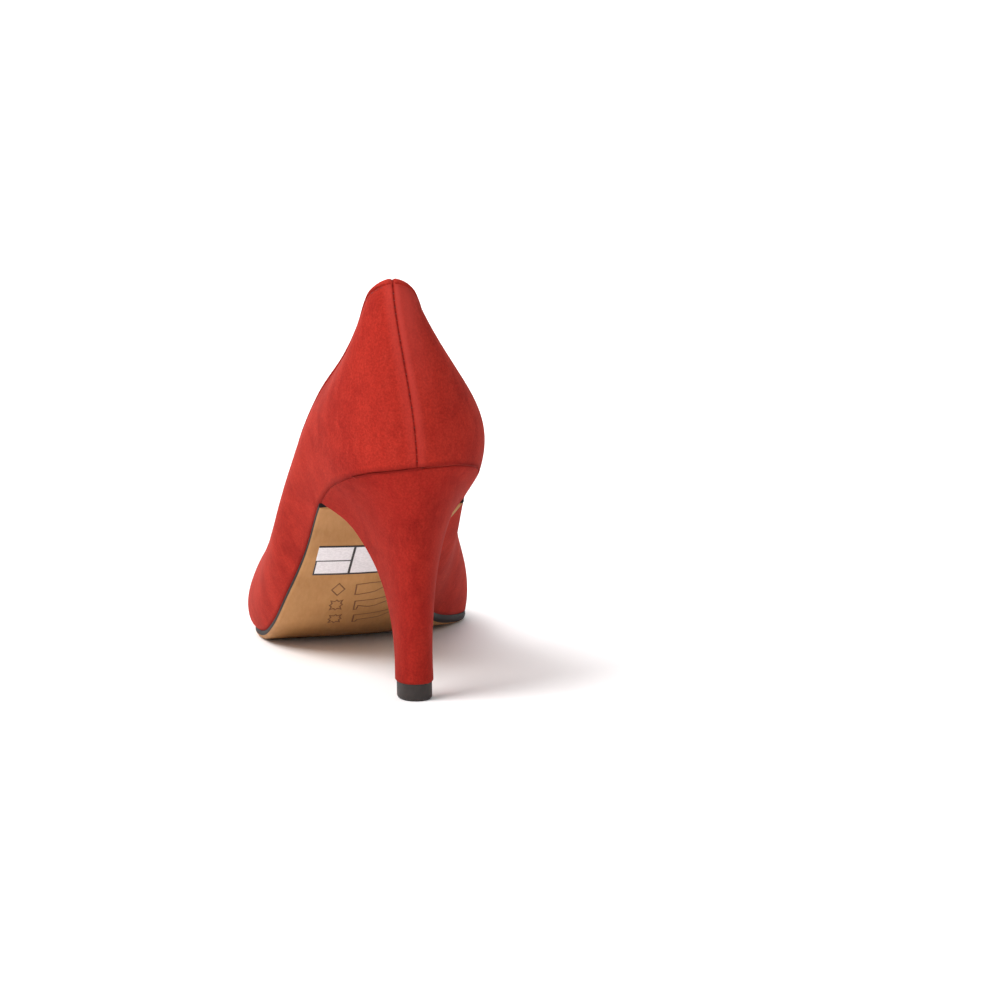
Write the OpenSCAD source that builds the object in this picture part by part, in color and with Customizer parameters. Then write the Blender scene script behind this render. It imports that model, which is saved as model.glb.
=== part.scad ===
// A left high heel pump: suede upper, leather sole and covered heel.
// The toe points along +Y, the outer side of the foot is at -X and the floor is z = 0.

/* [Shoe] */
// Length of the sole from the back of the heel seat to the toe
sole_len = 225; // [215:1:235]
// Height of the heel seat at the back
heel_h = 76; // [66:1:86]
// Height of the back of the upper above the heel seat
back_h = 58; // [52:1:64]
// Width of the sole across the ball of the foot
ball_w = 77; // [70:1:84]
// How much higher the inner side of the heel seat is, per mm of width
seat_cant = 0.06; // [0:0.01:0.08]
// How far the back edge of the upper leans to the outer side
back_lean = 7; // [0:0.5:8]

/* [Upper] */
// Thickness of the suede
suede_t = 1.0; // [0.8:0.1:1.2]
// Thickness of the stiffeners and the interlining
mid_t = 0.8; // [0.6:0.1:1]
// Thickness of the lining leather
lining_t = 0.7; // [0.5:0.1:0.9]
// Thickness of the strip that binds the top edge
binding_t = 0.5; // [0.4:0.1:0.7]
// Width of the margin that is turned under the insole
margin_w = 12; // [9:0.5:14]

/* [Sole] */
// Thickness of the outsole under the ball
sole_t = 3.0; // [2.5:0.1:3]
// Upright thickness of the outsole in the waist
waist_t = 2.0; // [1.6:0.1:2.4]
// Thickness of the insole boards
insole_t = 2.0; // [1.5:0.1:2.5]
// Thickness of the foam under the sock
foam_t = 1.5; // [1:0.1:2.5]
// Thickness of the sock
sock_t = 0.8; // [0.6:0.1:1.2]

/* [Heel] */
// Distance from the back of the seat to the front face of the heel
breast_y = 46; // [42:1:50]
// Thickness of the top piece, the part that meets the ground
top_piece_t = 5.5; // [4.5:0.5:7]
// Width of the heel at its foot
foot_w = 12; // [11:0.5:16]
// Depth of the heel at its foot
foot_d = 11; // [10:0.5:14]
// Thickness of the suede on the heel
cover_t = 0.8; // [0.6:0.1:1]
// Outer diameter of the steel tube in the heel
tube_d = 4.5; // [4:0.1:5]
// Diameter of the pin that holds the top piece
pin_d = 2.8; // [2.5:0.1:3]

/* [Hidden] */
$fn = 32;

// The origin is under the middle of the whole shoe, on the floor
middle = [-0.34, 115.36, 0];

// The lists below are for the middle sizes, so these bring them to the sizes above
kx = ball_w / 77;
ky = sole_len / 225;
kz = heel_h / 76;

// Sole outline: half width against the share of the length, outer side and inner side.
// The round ends come from the sine of the angle round the shoe.
back_y = 3;
sole_out = [[0, 46], [0.1, 37.5], [0.2, 32.5], [0.32, 30], [0.45, 33], [0.6, 37], [0.7, 40.5],
    [0.82, 41.5], [0.92, 35.5], [1, 32]];
sole_in = [[0, 46], [0.1, 38], [0.2, 26.5], [0.32, 15.5], [0.45, 14], [0.54, 18], [0.61, 24],
    [0.69, 35.5], [0.77, 46], [0.87, 47.5], [1, 32]];
sole_mid = [[0, -1], [0.5, 0], [0.7, 0], [0.85, 1], [1, 3]];
// Height of the underside of the upper against the distance from the back
bottom_h = [[3, 76], [8, 75.3], [14, 74], [22, 72], [35, 67.5], [50, 59.5], [75, 43.5], [100, 26.5],
    [120, 14.5], [137, 6.8], [148, 4], [158, 3.1], [172, 3.2], [190, 4.2], [206, 5.8], [228, 8.5]];
lead = 7.3;
skew = 0.55;
skew_blend = 14;

// Top edge: half width against the share of its length, its middle line, and its height
top_y = [8, 160];
top_out = [[0, 19], [0.1, 18], [0.25, 25.5], [0.5, 28.5], [0.75, 30], [0.9, 34], [1, 37]];
top_in = [[0, 19], [0.1, 18.5], [0.25, 26.5], [0.5, 25], [0.75, 25], [0.9, 31], [1, 37]];
top_mid = [[0, 0], [0.5, 0], [1, 1]];
top_h = [[8, 0], [11, -1.8], [14.5, -4.6], [22, -14.5], [36, -29.5], [60, -49], [90, -67], [120, -80],
    [145, -86.5], [160, -88]];

// Ribs of the wall: how far they lean out at the sole and in at the top edge, in degrees,
// and how stiffly they keep to it, in mm, against the share of the length
flare_out = [[0, 4], [0.1, 16], [0.25, 26], [0.4, 33], [0.5, 31.5], [0.65, 46], [0.8, 47], [1, 12]];
flare_in = [[0, 4], [0.1, 17], [0.25, 28], [0.4, 42], [0.5, 46], [0.65, 27.5], [0.8, 9.5], [1, 12]];
tuck = [[0, 11], [0.1, 30], [0.25, 29], [0.5, 20], [0.75, 28], [0.9, 45], [1, 64]];
low_pull = [[0, 20], [0.1, 22], [0.25, 18], [0.45, 17.5], [0.6, 12], [0.7, 10.5], [0.85, 14], [1, 22]];
high_pull = [[0, 16], [0.1, 14.5], [0.25, 16], [0.5, 15.5], [0.75, 20], [0.9, 28], [1, 30]];

// Heel: how far each level has moved from the seat outline to the foot outline, across,
// at the back and at the front, against the share of the way down
narrow = [[0, 0], [0.1, 0.36], [0.2, 0.565], [0.35, 0.765], [0.5, 0.89], [0.7, 0.975], [0.85, 1], [1, 1]];
back_line = [[0, 0], [0.25, 0.35], [0.5, 0.68], [0.75, 0.9], [1, 1]];
breast_line = [[0, 0], [0.1, 0.2], [0.2, 0.38], [0.35, 0.6], [0.5, 0.78], [0.7, 0.92], [1, 1]];
foot_back = 16;
foot_front = foot_back + foot_d;
foot_mid = (foot_back + foot_front) / 2;

// Stations round the shoe and rows up the wall
stations = 56;
rows = [0, 0.1, 0.22, 0.35, 0.48, 0.62, 0.76, 0.88, 0.955, 1];
wall = len(rows) - 1;
seam_gap = 0.12;
across = 6;
heel_levels = 14;
heel_sides = 24;

// Depths of the layers under the outside of the upper, and levels above its underside
film = 0.1;
mid_d = suede_t + mid_t;
inside_d = mid_d + lining_t;
grip_t = 0.6;
margin_top = suede_t + lining_t;
insole_z = margin_top + film;
foam_z = insole_z + insole_t + film;
sock_z = foam_z + foam_t + film;
shank_t = 1.4;
shank_w = 12;

// ---- Curves ----

function clamp(v) = min(max(v, 0), 1);
function unit(v) = v / norm(v);
function knot_slope(k, i) = let (a = max(i - 1, 0), b = min(i + 1, len(k) - 1))
    (k[b][1] - k[a][1]) / (k[b][0] - k[a][0]);
function span_of(k, x, i = 0) = (i >= len(k) - 2 || x < k[i + 1][0]) ? i : span_of(k, x, i + 1);

// Smooth curve through the knots k, read at x
function smooth(k, x0) = let (
        x = min(max(x0, k[0][0]), k[len(k) - 1][0]), i = span_of(k, x),
        h = k[i + 1][0] - k[i][0], s = (x - k[i][0]) / h)
    (2 * s ^ 3 - 3 * s ^ 2 + 1) * k[i][1] + (s ^ 3 - 2 * s ^ 2 + s) * h * knot_slope(k, i)
    + (3 * s ^ 2 - 2 * s ^ 3) * k[i + 1][1] + (s ^ 3 - s ^ 2) * h * knot_slope(k, i + 1);

// The angle a runs from the back seam along the outer side to the toe and back on the inner side
function outer(a) = sin(a) >= 0;
function side(a) = outer(a) ? -1 : 1;
function share(a) = (1 - cos(a)) / 2;

// Underside of the upper as a height over any place on the floor plan. The inner half of the
// waist reaches the floor later than the outer half; the change is spread over the middle.
function bottom_z(p) = let (
        y = back_y + (p[1] - back_y) / ky, x = p[0] / kx,
        fade = clamp((y - 50) / 70) * clamp((240 - y) / 60),
        inner_x = (x + sqrt(x * x + skew_blend * skew_blend)) / 2)
    kz * smooth(bottom_h, y + fade * (lead - skew * inner_x)) - (kz - 1) * 3
    + seat_cant * p[0] * clamp((50 - y) / 25);
function on_bottom(p, up) = [p[0], p[1], bottom_z(p) + up];

function sole_xy(a) = let (t = share(a))
    [kx * (smooth(sole_mid, t) + side(a) * abs(sin(a)) * smooth(outer(a) ? sole_out : sole_in, t)),
     back_y + sole_len * t];
function top_xyz(a) = let (
        t = share(a), y = top_y[0] + (top_y[1] - top_y[0]) * t,
        z = heel_h + back_h + smooth(top_h, y) * (heel_h + back_h) / 135,
        half = smooth(outer(a) ? top_out : top_in, t),
        lean = back_lean * clamp((z - 50) / (heel_h + back_h - 50)))
    [kx * (smooth(top_mid, t) + side(a) * abs(sin(a)) * half) - lean, back_y + (y - back_y) * ky, z];
function plan_normal(p, q) = unit([q[1] - p[1], p[0] - q[0]]);
function sole_normal(a) = plan_normal(sole_xy(a + 0.1), sole_xy(a - 0.1));
function top_normal(a) = plan_normal(top_xyz(a + 0.1), top_xyz(a - 0.1));

// A point m inside the sole outline and a height above the underside
function inset_point(a, m, up) = on_bottom(sole_xy(a) - m * sole_normal(a), up);

// The four control points of the rib at angle a
function rib(a) = let (
        t = share(a), low = inset_point(a, 0, 0), high = top_xyz(a),
        out = smooth(outer(a) ? flare_out : flare_in, t), back = smooth(tuck, t),
        n1 = sole_normal(a), n2 = top_normal(a))
    [low, low + smooth(low_pull, t) * [n1[0] * sin(out), n1[1] * sin(out), cos(out)],
     high + smooth(high_pull, t) * [n2[0] * sin(back), n2[1] * sin(back), -cos(back)], high];
function on_rib(r, v) = (1 - v) ^ 3 * r[0] + 3 * (1 - v) ^ 2 * v * r[1]
    + 3 * (1 - v) * v ^ 2 * r[2] + v ^ 3 * r[3];
function along_rib(r, v) = (1 - v) ^ 2 * (r[1] - r[0]) + 2 * (1 - v) * v * (r[2] - r[1])
    + v ^ 2 * (r[3] - r[2]);

angles = [for (i = [0:stations]) min(max(i * 360 / stations, seam_gap), 360 - seam_gap)];
ribs = [for (a = angles) [rib(a), rib(a - 0.1), rib(a + 0.1)]];

// A point of the wall at station i, height share v and depth d under the outside
function wall_normal(i, v) = let (r = ribs[i])
    unit(cross(along_rib(r[0], v), on_rib(r[2], v) - on_rib(r[1], v)));
function wall_point(i, v, d) = on_rib(ribs[i][0], v) - d * wall_normal(i, v);

// Rows of a wall surface at depth d, whose lowest row stands at height up over the underside
function wall_rows(d, up) = [for (v = rows) [for (i = [0:stations])
    v == 0 ? inset_point(angles[i], d, up) : wall_point(i, v, d)]];

// The turned-under margin: narrower where the toe and the back are tightly curved
function margin_at(a, w) = let (t = share(a)) w * (1 - 0.45 * clamp((t - 0.7) / 0.3) - 0.25 * clamp(1 - t / 0.1));
function margin_rows(up) = [for (w = [margin_w, margin_w / 2]) [for (a = angles)
    inset_point(a, margin_at(a, w), up)]];

// ---- Solids from grids of points ----

function flat_grid(g) = [for (row = g) each row];
function faces_of(p, f) = [for (t = f) if (p[t[0]] != p[t[1]] && p[t[1]] != p[t[2]] && p[t[2]] != p[t[0]]) t];

// A closed solid between an outer grid a and an inner grid b, over the cells that keep(row, column)
// accepts. The column after the last one is the first.
module shell(a, b, keep) {
    h = len(a);
    w = len(a[0]);
    n = h * w;
    function has(r, c) = r >= 0 && r < h - 1 && keep(r, (c + w) % w);
    function at(p) = p[0] * w + p[1] % w;
    function tri(p, q, s) = [[at(p), at(q), at(s)], [at(s) + n, at(q) + n, at(p) + n]];
    function rim(p, q) = [[at(q), at(p), at(p) + n], [at(q), at(p) + n, at(q) + n]];
    cells = [for (r = [0:h - 2], c = [0:w - 1]) if (has(r, c)) [r, c]];
    faces = [for (k = cells) let (r = k[0], c = k[1]) each concat(
        tri([r, c], [r, c + 1], [r + 1, c + 1]), tri([r, c], [r + 1, c + 1], [r + 1, c]),
        has(r - 1, c) ? [] : rim([r, c], [r, c + 1]),
        has(r, c + 1) ? [] : rim([r, c + 1], [r + 1, c + 1]),
        has(r + 1, c) ? [] : rim([r + 1, c + 1], [r + 1, c]),
        has(r, c - 1) ? [] : rim([r + 1, c], [r, c]))];
    points = concat(flat_grid(a), flat_grid(b));
    polyhedron(points, faces_of(points, faces));
}

// A closed skin through the rings in g; the first and last ring are points, or joined if ring is true
module skin(g, ring = false) {
    h = len(g);
    w = len(g[0]);
    function at(r, c) = (r % h) * w + c % w;
    points = flat_grid(g);
    faces = [for (r = [0:h - (ring ? 1 : 2)], c = [0:w - 1]) each [
        [at(r, c), at(r, c + 1), at(r + 1, c + 1)], [at(r, c), at(r + 1, c + 1), at(r + 1, c)]]];
    polyhedron(points, faces_of(points, faces));
}

// A board that follows the underside, from angle a0 to a1 on both sides, m inside the outline
function board_angles(a0, a1) = [a0, each [for (a = angles) if (a > a0 + 1 && a < a1 - 1) a], a1];
function board_grid(a0, a1, inset, up) = [for (a = board_angles(a0, a1)) let (
        l = inset_point(a, inset(a), 0), r = inset_point(360 - a, inset(a), 0))
    [for (k = [0:across]) let (p = r + (l - r) * k / across) on_bottom(p, up(p))]];
module board(a0, a1, inset, low, high) {
    shell(board_grid(a0, a1, inset, high), board_grid(a0, a1, inset, low),
        function (r, c) c < across);
}
function steady(v) = function (p) v;

// Angle of the outline at a distance from the back
function angle_at(y) = acos(1 - 2 * (y - back_y) / sole_len);

// A frame on the underside of the upper, tipped to its slope
module on_underside(x, y, up) {
    rise = bottom_z([x, y + 1]) - bottom_z([x, y - 1]);
    translate(on_bottom([x, y], 0)) rotate([atan(rise / 2), 0, 0]) translate([0, 0, up]) children();
}
module placed() { translate(-middle) children(); }

// ---- Cells of the layers ----

function from_back(c) = c == stations ? -1 : min(c, stations - 1 - c);
function in_counter(r, c) = from_back(c) < 9 && r < 5;
function in_puff(r, c) = from_back(c) >= 21 && r < 5;
function in_stay(r, c) = from_back(c) < 2 && r >= 5 && r < wall - 1;
function in_interlining(r, c) = r < wall - 1 && !in_counter(r, c) && !in_puff(r, c) && !in_stay(r, c);

module mid_layer(keep) {
    placed() shell(wall_rows(suede_t, suede_t), wall_rows(mid_d, suede_t), keep);
}
module lining_layer(keep) {
    placed() shell(concat(margin_rows(suede_t), wall_rows(mid_d, suede_t)),
        concat(margin_rows(margin_top), wall_rows(inside_d, margin_top)), keep);
}

// ---- Upper ----

// Suede in one piece, open along the back seam, its lower edge turned under
module suede_upper() {
    color("firebrick") placed() shell(concat(margin_rows(0), wall_rows(0, 0)),
        concat(margin_rows(suede_t), wall_rows(suede_t, suede_t)), function (r, c) c < stations);
}

// Strip folded over the top edge, round the outside and the inside
module topline_binding() {
    edge = rows[wall - 1];
    out = -binding_t;
    deep = inside_d + binding_t;
    mid = (out + deep) / 2;
    profile = [[out, edge, 0], [out, 1, 0.2], [mid, 1, binding_t + 0.4], [deep, 1, 0.2],
        [deep, edge, 0], [inside_d, edge, 0], [inside_d, 1, 0], [0, 1, 0], [0, edge, 0]];
    color("red") placed() skin([for (p = profile) [for (i = [0:stations])
        wall_point(i, p[1], p[0]) + [0, 0, p[2]]]], true);
}

// Thread that runs round just under the binding
module topline_stitching() {
    v = 0.935;
    size = 0.25;
    profile = [[-1, -1], [-1, 1], [0.2, 1], [0.2, -1]] * size;
    color("maroon") placed() skin([for (p = profile) [for (i = [0:stations])
        wall_point(i, v, p[0]) + p[1] * unit(along_rib(ribs[i][0], v))]], true);
}

// Stay tape between suede and lining that keeps the top edge from stretching
module topline_tape() {
    color("white") mid_layer(function (r, c) r == wall - 1);
}

// Thermoplastic toe stiffener
module toe_puff() {
    color("khaki") mid_layer(function (r, c) in_puff(r, c));
}

// Moulded stiffener round the heel
module heel_counter() {
    color("tan") mid_layer(function (r, c) in_counter(r, c));
}

// Reinforcing strip behind the back seam, above the stiffener
module back_stay() {
    color("ivory") mid_layer(function (r, c) in_stay(r, c));
}

// Cotton interlining, outer half
module interlining_lateral() {
    color("linen") mid_layer(function (r, c) c < stations / 2 && in_interlining(r, c));
}

// Cotton interlining, inner half
module interlining_medial() {
    color("beige") mid_layer(function (r, c) c >= stations / 2 && in_interlining(r, c));
}

// Lining of the front of the shoe
module vamp_lining() {
    color("wheat") lining_layer(function (r, c) from_back(c) >= 12);
}

// Lining of both sides and the back, in one piece
module quarter_lining() {
    color("burlywood") lining_layer(function (r, c) from_back(c) < 12);
}

// Brushed pad that grips the heel of the foot
module heel_grip() {
    color("peru") placed() shell(wall_rows(inside_d, margin_top), wall_rows(inside_d + grip_t, margin_top),
        function (r, c) from_back(c) < 7 && r >= 2 && r < wall - 1);
}

// ---- Inside the bottom ----

board_split = angle_at(127);
seat_nails = [[-9, 16], [8, 16], [-11, 32], [10, 32], [-0.5, 10]];
screw_at = [-0.5, 28];
rivets_at = [[-4, 62], [-6, 80]];
nail_d = 1.6;
screw_d = 4;
rivet_d = 3;

// Flexible board under the ball and toes
module insole_forepart() {
    color("saddlebrown") placed() board(board_split + 0.3, 180, steady(inside_d + film),
        steady(insole_z), steady(insole_z + insole_t));
}

// Stiff board from the heel to behind the ball, drilled for the shank and the heel fastenings
module insole_backpart() {
    color("sienna") placed() difference() {
        board(0, board_split, steady(inside_d + film), steady(insole_z), steady(insole_z + insole_t));
        for (p = rivets_at) on_underside(p[0], p[1], 0) cylinder(d = rivet_d, h = 8);
        for (p = seat_nails) on_underside(p[0], p[1], 0) cylinder(d = nail_d, h = 8);
        on_underside(screw_at[0], screw_at[1], 0) cylinder(d = screw_d, h = 8);
    }
}

// Spring steel strip that bridges the arch
module steel_shank() {
    route = [[18, -0.5], [60, -4], [100, -8], [128, -5]];
    ys = [18, 24, 30, 40, 52, 64, 76, 88, 100, 110, 119, 128];
    function strip(up) = [for (y = ys) let (
            x = smooth(route, y), w = shank_w / 2 * (y == ys[0] || y == ys[len(ys) - 1] ? 0.6 : 1))
        [for (s = [1, -1]) on_bottom([x + s * w, y], up)]];
    low = 0.15;
    color("slategray") placed() difference() {
        shell(strip(low + shank_t), strip(low), function (r, c) c < 1);
        for (p = rivets_at) on_underside(p[0], p[1], -2) cylinder(d = rivet_d, h = 8);
        on_underside(screw_at[0], screw_at[1], -2) cylinder(d = screw_d, h = 8);
    }
}

// Two tubular rivets that hold the shank to the board
module shank_rivets() {
    head_t = 0.6;
    top = insole_z + insole_t;
    color("silver") placed() for (p = rivets_at) on_underside(p[0], p[1], 0) {
        translate([0, 0, 0.2]) cylinder(d = rivet_d, h = top - 0.2);
        translate([0, 0, top]) cylinder(d = rivet_d + 2.5, h = head_t);
    }
}

// Cork sheet that levels the space inside the turned-under margin
module bottom_filler() {
    room = 0.6;
    color("chocolate") placed() board(angle_at(134), 178, function (a) margin_at(a, margin_w) + room,
        steady(0), steady(margin_top - film));
}

// Leather outsole from the heel breast to the toe, thinner in the waist
module outsole() {
    depth = function (p) -waist_t - (sole_t - waist_t) * clamp((p[1] - 105) / 40);
    color("tan") placed() board(angle_at(back_y + breast_y + 0.2), 180, steady(0), depth, steady(-film));
}

// Thin foam that cushions the sole of the foot
module sock_foam() {
    hole = rivet_d + 3;
    color("lightyellow") placed() difference() {
        board(0, 180, steady(inside_d + 1), steady(foam_z), steady(foam_z + foam_t));
        for (p = rivets_at) on_underside(p[0], p[1], 0) cylinder(d = hole, h = foam_z + 0.8);
    }
}

// Leather sock, the visible floor of the shoe
module sock_lining() {
    color("bisque") placed() board(0, 180, steady(inside_d + 1), steady(sock_z), steady(sock_z + sock_t));
}

// Paper label on the waist of the outsole
module size_label() {
    label_t = 0.15;
    long = 28;
    wide = 16;
    turn = 3;
    corner = [-24.2, 71];
    function sheet(drop) = [for (i = [0:4]) [for (k = [0:3]) let (
            u = long * (1 - k / 3), v = wide * i / 4,
            p = corner + [u * cos(turn) - v * sin(turn), u * sin(turn) + v * cos(turn)])
        on_bottom(p, -waist_t - drop)]];
    color("white") placed() shell(sheet(0.03), sheet(0.03 + label_t), function (r, c) c < 3);
}

// ---- Heel ----

breast_a = angle_at(back_y + breast_y);
seat_arc = [for (i = [0:heel_sides]) let (u = 2 * i / heel_sides - 1, a = u * breast_a)
    inset_point(a < 0 ? a + 360 : a, 0, 0)];

// Outline of the heel at share s of the way down, clockwise from above: inner corner, back,
// outer corner and three points on the breast
function heel_ring(s) = let (
        arc = [for (i = [0:heel_sides]) let (
                u = 180 * i / heel_sides - 90, p = seat_arc[i],
                forward = clamp((p[1] - back_y) / breast_y),
                g = smooth(back_line, s) * (1 - forward) + smooth(breast_line, s) * forward,
                x = -sin(u) * foot_w / 2, y = foot_front - foot_d * cos(u) ^ 0.75)
            [p[0] + (x - p[0]) * smooth(narrow, s), p[1] + (y - p[1]) * g, p[2] + (top_piece_t - p[2]) * s]],
        a = arc[heel_sides], b = arc[0], sag = norm(a - b) * 0.06 * clamp(s * 6))
    concat(arc, [for (k = [1:3]) a + (b - a) * k / 4 - [0, sag * sin(45 * k), 0]]);

// The same ring moved in by d
function ring_in(ring, d) = let (n = len(ring)) [for (i = [0:n - 1]) let (
        a = ring[(i + n - 1) % n], p = ring[i], b = ring[(i + 1) % n],
        n1 = plan_normal(p, a), n2 = plan_normal(b, p), m = (n1 + n2) / (1 + n1 * n2))
    [p[0] - d * m[0], p[1] - d * m[1], p[2]]];

// Levels from the foot up to the seat, closer together near the seat
heel_rows = [for (i = [0:heel_levels]) (1 - i / heel_levels) ^ 1.35];
function heel_stack(d) = [for (s = heel_rows) let (ring = ring_in(heel_ring(s), d))
    [for (p = ring) s == 0 ? on_bottom(p, -film) : p]];
function shrunk(ring, k, up) = let (c = [0, 27]) [for (p = ring)
    on_bottom([c[0] + (p[0] - c[0]) * k, c[1] + (p[1] - c[1]) * k], up)];
tube_top = 42;
screw_len = 28;
nail_len = 12;

// Moulded plastic core, drilled for the tube, the screw and the nails
module heel_block() {
    stack = heel_stack(cover_t);
    foot = stack[0];
    seat = stack[len(stack) - 1];
    bottom = [for (p = foot) [0, foot_mid, top_piece_t]];
    color("dimgray") placed() difference() {
        skin(concat([bottom], stack, [for (k = [0.7, 0.4, 0]) shrunk(seat, k, -film)]));
        translate([0, foot_mid, 0]) cylinder(d = tube_d, h = tube_top);
        on_underside(screw_at[0], screw_at[1], -screw_len) cylinder(d = screw_d, h = screw_len + 2);
        for (p = seat_nails) on_underside(p[0], p[1], -nail_len) cylinder(d = nail_d, h = nail_len + 2);
    }
}

// Suede glued round the block
module heel_cover() {
    color("firebrick") placed() shell(heel_stack(0), heel_stack(cover_t), function (r, c) true);
}

// Steel tube that keeps the slim heel from snapping
module heel_tube() {
    color("lightsteelblue") placed() translate([0, foot_mid, top_piece_t]) difference() {
        cylinder(d = tube_d, h = tube_top - top_piece_t);
        translate([0, 0, -1]) cylinder(d = pin_d, h = tube_top);
    }
}

// Outline of the top piece, a little inside the foot of the heel
module foot_outline(room) {
    half = foot_w / 2 - room;
    deep = foot_d - 2 * room;
    polygon([for (i = [0:32]) let (u = 180 * i / 32 - 90)
        [-sin(u) * half, foot_front - room - deep * cos(u) ^ 0.75]]);
}

// Replaceable rubber top piece
module top_piece() {
    socket = 2;
    color("darkslategray") placed() difference() {
        linear_extrude(top_piece_t) foot_outline(0.5);
        translate([0, foot_mid, socket]) cylinder(d = pin_d, h = top_piece_t);
    }
}

// Steel pin moulded into the top piece and pressed into the tube
module top_piece_pin() {
    color("gray") placed() translate([0, foot_mid, 2]) cylinder(d = pin_d, h = 20);
}

// Screw from inside the shoe through board and shank into the block
module heel_screw() {
    color("goldenrod") placed() on_underside(screw_at[0], screw_at[1], -screw_len) {
        cylinder(d1 = 1, d2 = screw_d, h = 4);
        translate([0, 0, 4]) cylinder(d = screw_d, h = screw_len - 4 + insole_z + insole_t);
    }
}

// Ring nails round the heel seat
module heel_nails() {
    color("silver") placed() for (p = seat_nails) on_underside(p[0], p[1], -nail_len) {
        cylinder(d1 = 0.4, d2 = nail_d, h = 2);
        translate([0, 0, 2]) cylinder(d = nail_d, h = nail_len - 2 + insole_z + insole_t);
    }
}

suede_upper();
topline_binding();
topline_stitching();
topline_tape();
toe_puff();
heel_counter();
back_stay();
interlining_lateral();
interlining_medial();
vamp_lining();
quarter_lining();
heel_grip();
insole_forepart();
insole_backpart();
steel_shank();
shank_rivets();
bottom_filler();
outsole();
sock_foam();
sock_lining();
heel_block();
heel_cover();
heel_tube();
top_piece();
top_piece_pin();
heel_screw();
heel_nails();
size_label();
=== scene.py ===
"""Looks of a left high heel pump in red suede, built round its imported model.

The toe points along +Y, the outer side of the foot is at -X and the floor is z = 0.
Sizes are in millimetres; a mesh is in metres once it is laid.
"""

import logging
import math
from collections.abc import Callable
from dataclasses import dataclass, field
from enum import Enum

import bmesh
import bpy
import numpy as np
from mathutils import Matrix, Vector


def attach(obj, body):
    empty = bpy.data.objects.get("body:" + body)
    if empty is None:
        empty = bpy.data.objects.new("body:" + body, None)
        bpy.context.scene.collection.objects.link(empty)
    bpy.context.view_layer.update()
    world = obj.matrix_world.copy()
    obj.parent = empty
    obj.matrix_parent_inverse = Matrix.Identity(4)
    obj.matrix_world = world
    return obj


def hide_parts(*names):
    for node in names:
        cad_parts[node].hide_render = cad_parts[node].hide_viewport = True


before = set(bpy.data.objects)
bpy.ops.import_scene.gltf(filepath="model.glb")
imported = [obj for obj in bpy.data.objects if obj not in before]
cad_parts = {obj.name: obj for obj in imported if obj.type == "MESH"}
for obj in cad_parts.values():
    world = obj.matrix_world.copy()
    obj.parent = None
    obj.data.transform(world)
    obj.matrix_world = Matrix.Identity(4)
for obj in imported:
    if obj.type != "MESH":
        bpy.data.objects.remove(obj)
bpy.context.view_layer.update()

LOG = logging.getLogger("pump")
MM = 0.001
BODY = "root"
# The shoe's own floor plan starts at the back of the heel; the frame's origin is under its middle
MIDDLE = np.array([-0.34, 115.36, 0.0])
# Points that are nearer to each other than this, in metres, are made one
WELD = 2e-6
# A sheet is drawn this much thinner than its layer, so that its back never shares a face with the next
SHY = 0.05
# What one step of an angle is when a direction is worked out from two neighbours
NUDGE = 0.1

Array = np.ndarray
Socket = bpy.types.NodeSocket
Triple = tuple[float, float, float]


class Slot(Enum):
    """Names of the record's material slots; no piece here reads them."""

    UPPER = "upper_suede"
    BINDING = "binding_suede"
    THREAD = "red_thread"
    LINING = "lining_leather"
    GRIP = "grip_suede"
    FOAM = "foam"
    SOCK = "sock_leather"
    SOLE = "sole_leather"
    HEEL = "heel_suede"
    TOP_PIECE = "top_piece_rubber"
    LABEL = "label_paper"


class Mark(Enum):
    """Masks that a mesh carries from point to point for its material to read."""

    # Painted shade: darkens the colour in seams, creases, folds and joints, where shade falls
    CREASE = "crease_shade"
    RUBBED = "rubbed"
    PAINT = "paint"


# ---- Small helpers ----


def linear(code: str) -> tuple[float, float, float, float]:
    """Turns an sRGB hex colour to the linear colour that shaders take.

    Args:
        code: the colour, such as "#c8382f".

    Returns:
        Red, green, blue and an alpha of 1.
    """
    parts = [int(code[i : i + 2], 16) / 255 for i in (1, 3, 5)]
    red, green, blue = (c / 12.92 if c <= 0.04045 else ((c + 0.055) / 1.055) ** 2.4 for c in parts)
    return red, green, blue, 1.0


def per_metre(size_mm: float) -> float:
    """Gives the texture scale at which one feature is size_mm across."""
    return 1 / (size_mm * MM)


def clamp(value: Array) -> Array:
    """Keeps every value between 0 and 1."""
    return np.clip(value, 0.0, 1.0)


def ramp(value: Array, start: float, end: float) -> Array:
    """Gives 0 before start and 1 after end, in a straight line between them."""
    return clamp((value - start) / (end - start))


def unit(v: Array) -> Array:
    """Brings every vector along the last axis to length 1."""
    return v / np.linalg.norm(v, axis=-1, keepdims=True)


def bell(distance: Array, width: float) -> Array:
    """Gives 1 at distance 0, falling smoothly to nothing over about two widths."""
    return np.exp(-((distance / width) ** 2))


def step_down(distance: Array, start: float, end: float) -> Array:
    """Gives 1 before start and 0 after end, with a smooth fall between them."""
    t = ramp(np.asarray(distance), start, end)
    return 1 - t * t * (3 - 2 * t)


def add_node(
    tree: bpy.types.NodeTree,
    kind: str,
    settings: dict[str, object] | None = None,
    inputs: dict[int | str, object] | None = None,
) -> bpy.types.Node:
    """Adds a node with its settings, values and links.

    Args:
        tree: the node tree of a material or a world.
        kind: the node's type name.
        settings: the node's own properties.
        inputs: for each input, a socket to link from or a value.

    Returns:
        The new node.
    """
    node = tree.nodes.new(kind)
    for key, value in (settings or {}).items():
        setattr(node, key, value)
    for key, value in (inputs or {}).items():
        if isinstance(value, bpy.types.NodeSocket):
            tree.links.new(value, node.inputs[key])
        else:
            node.inputs[key].default_value = value
    return node


# ---- The form of the shoe ----


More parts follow.
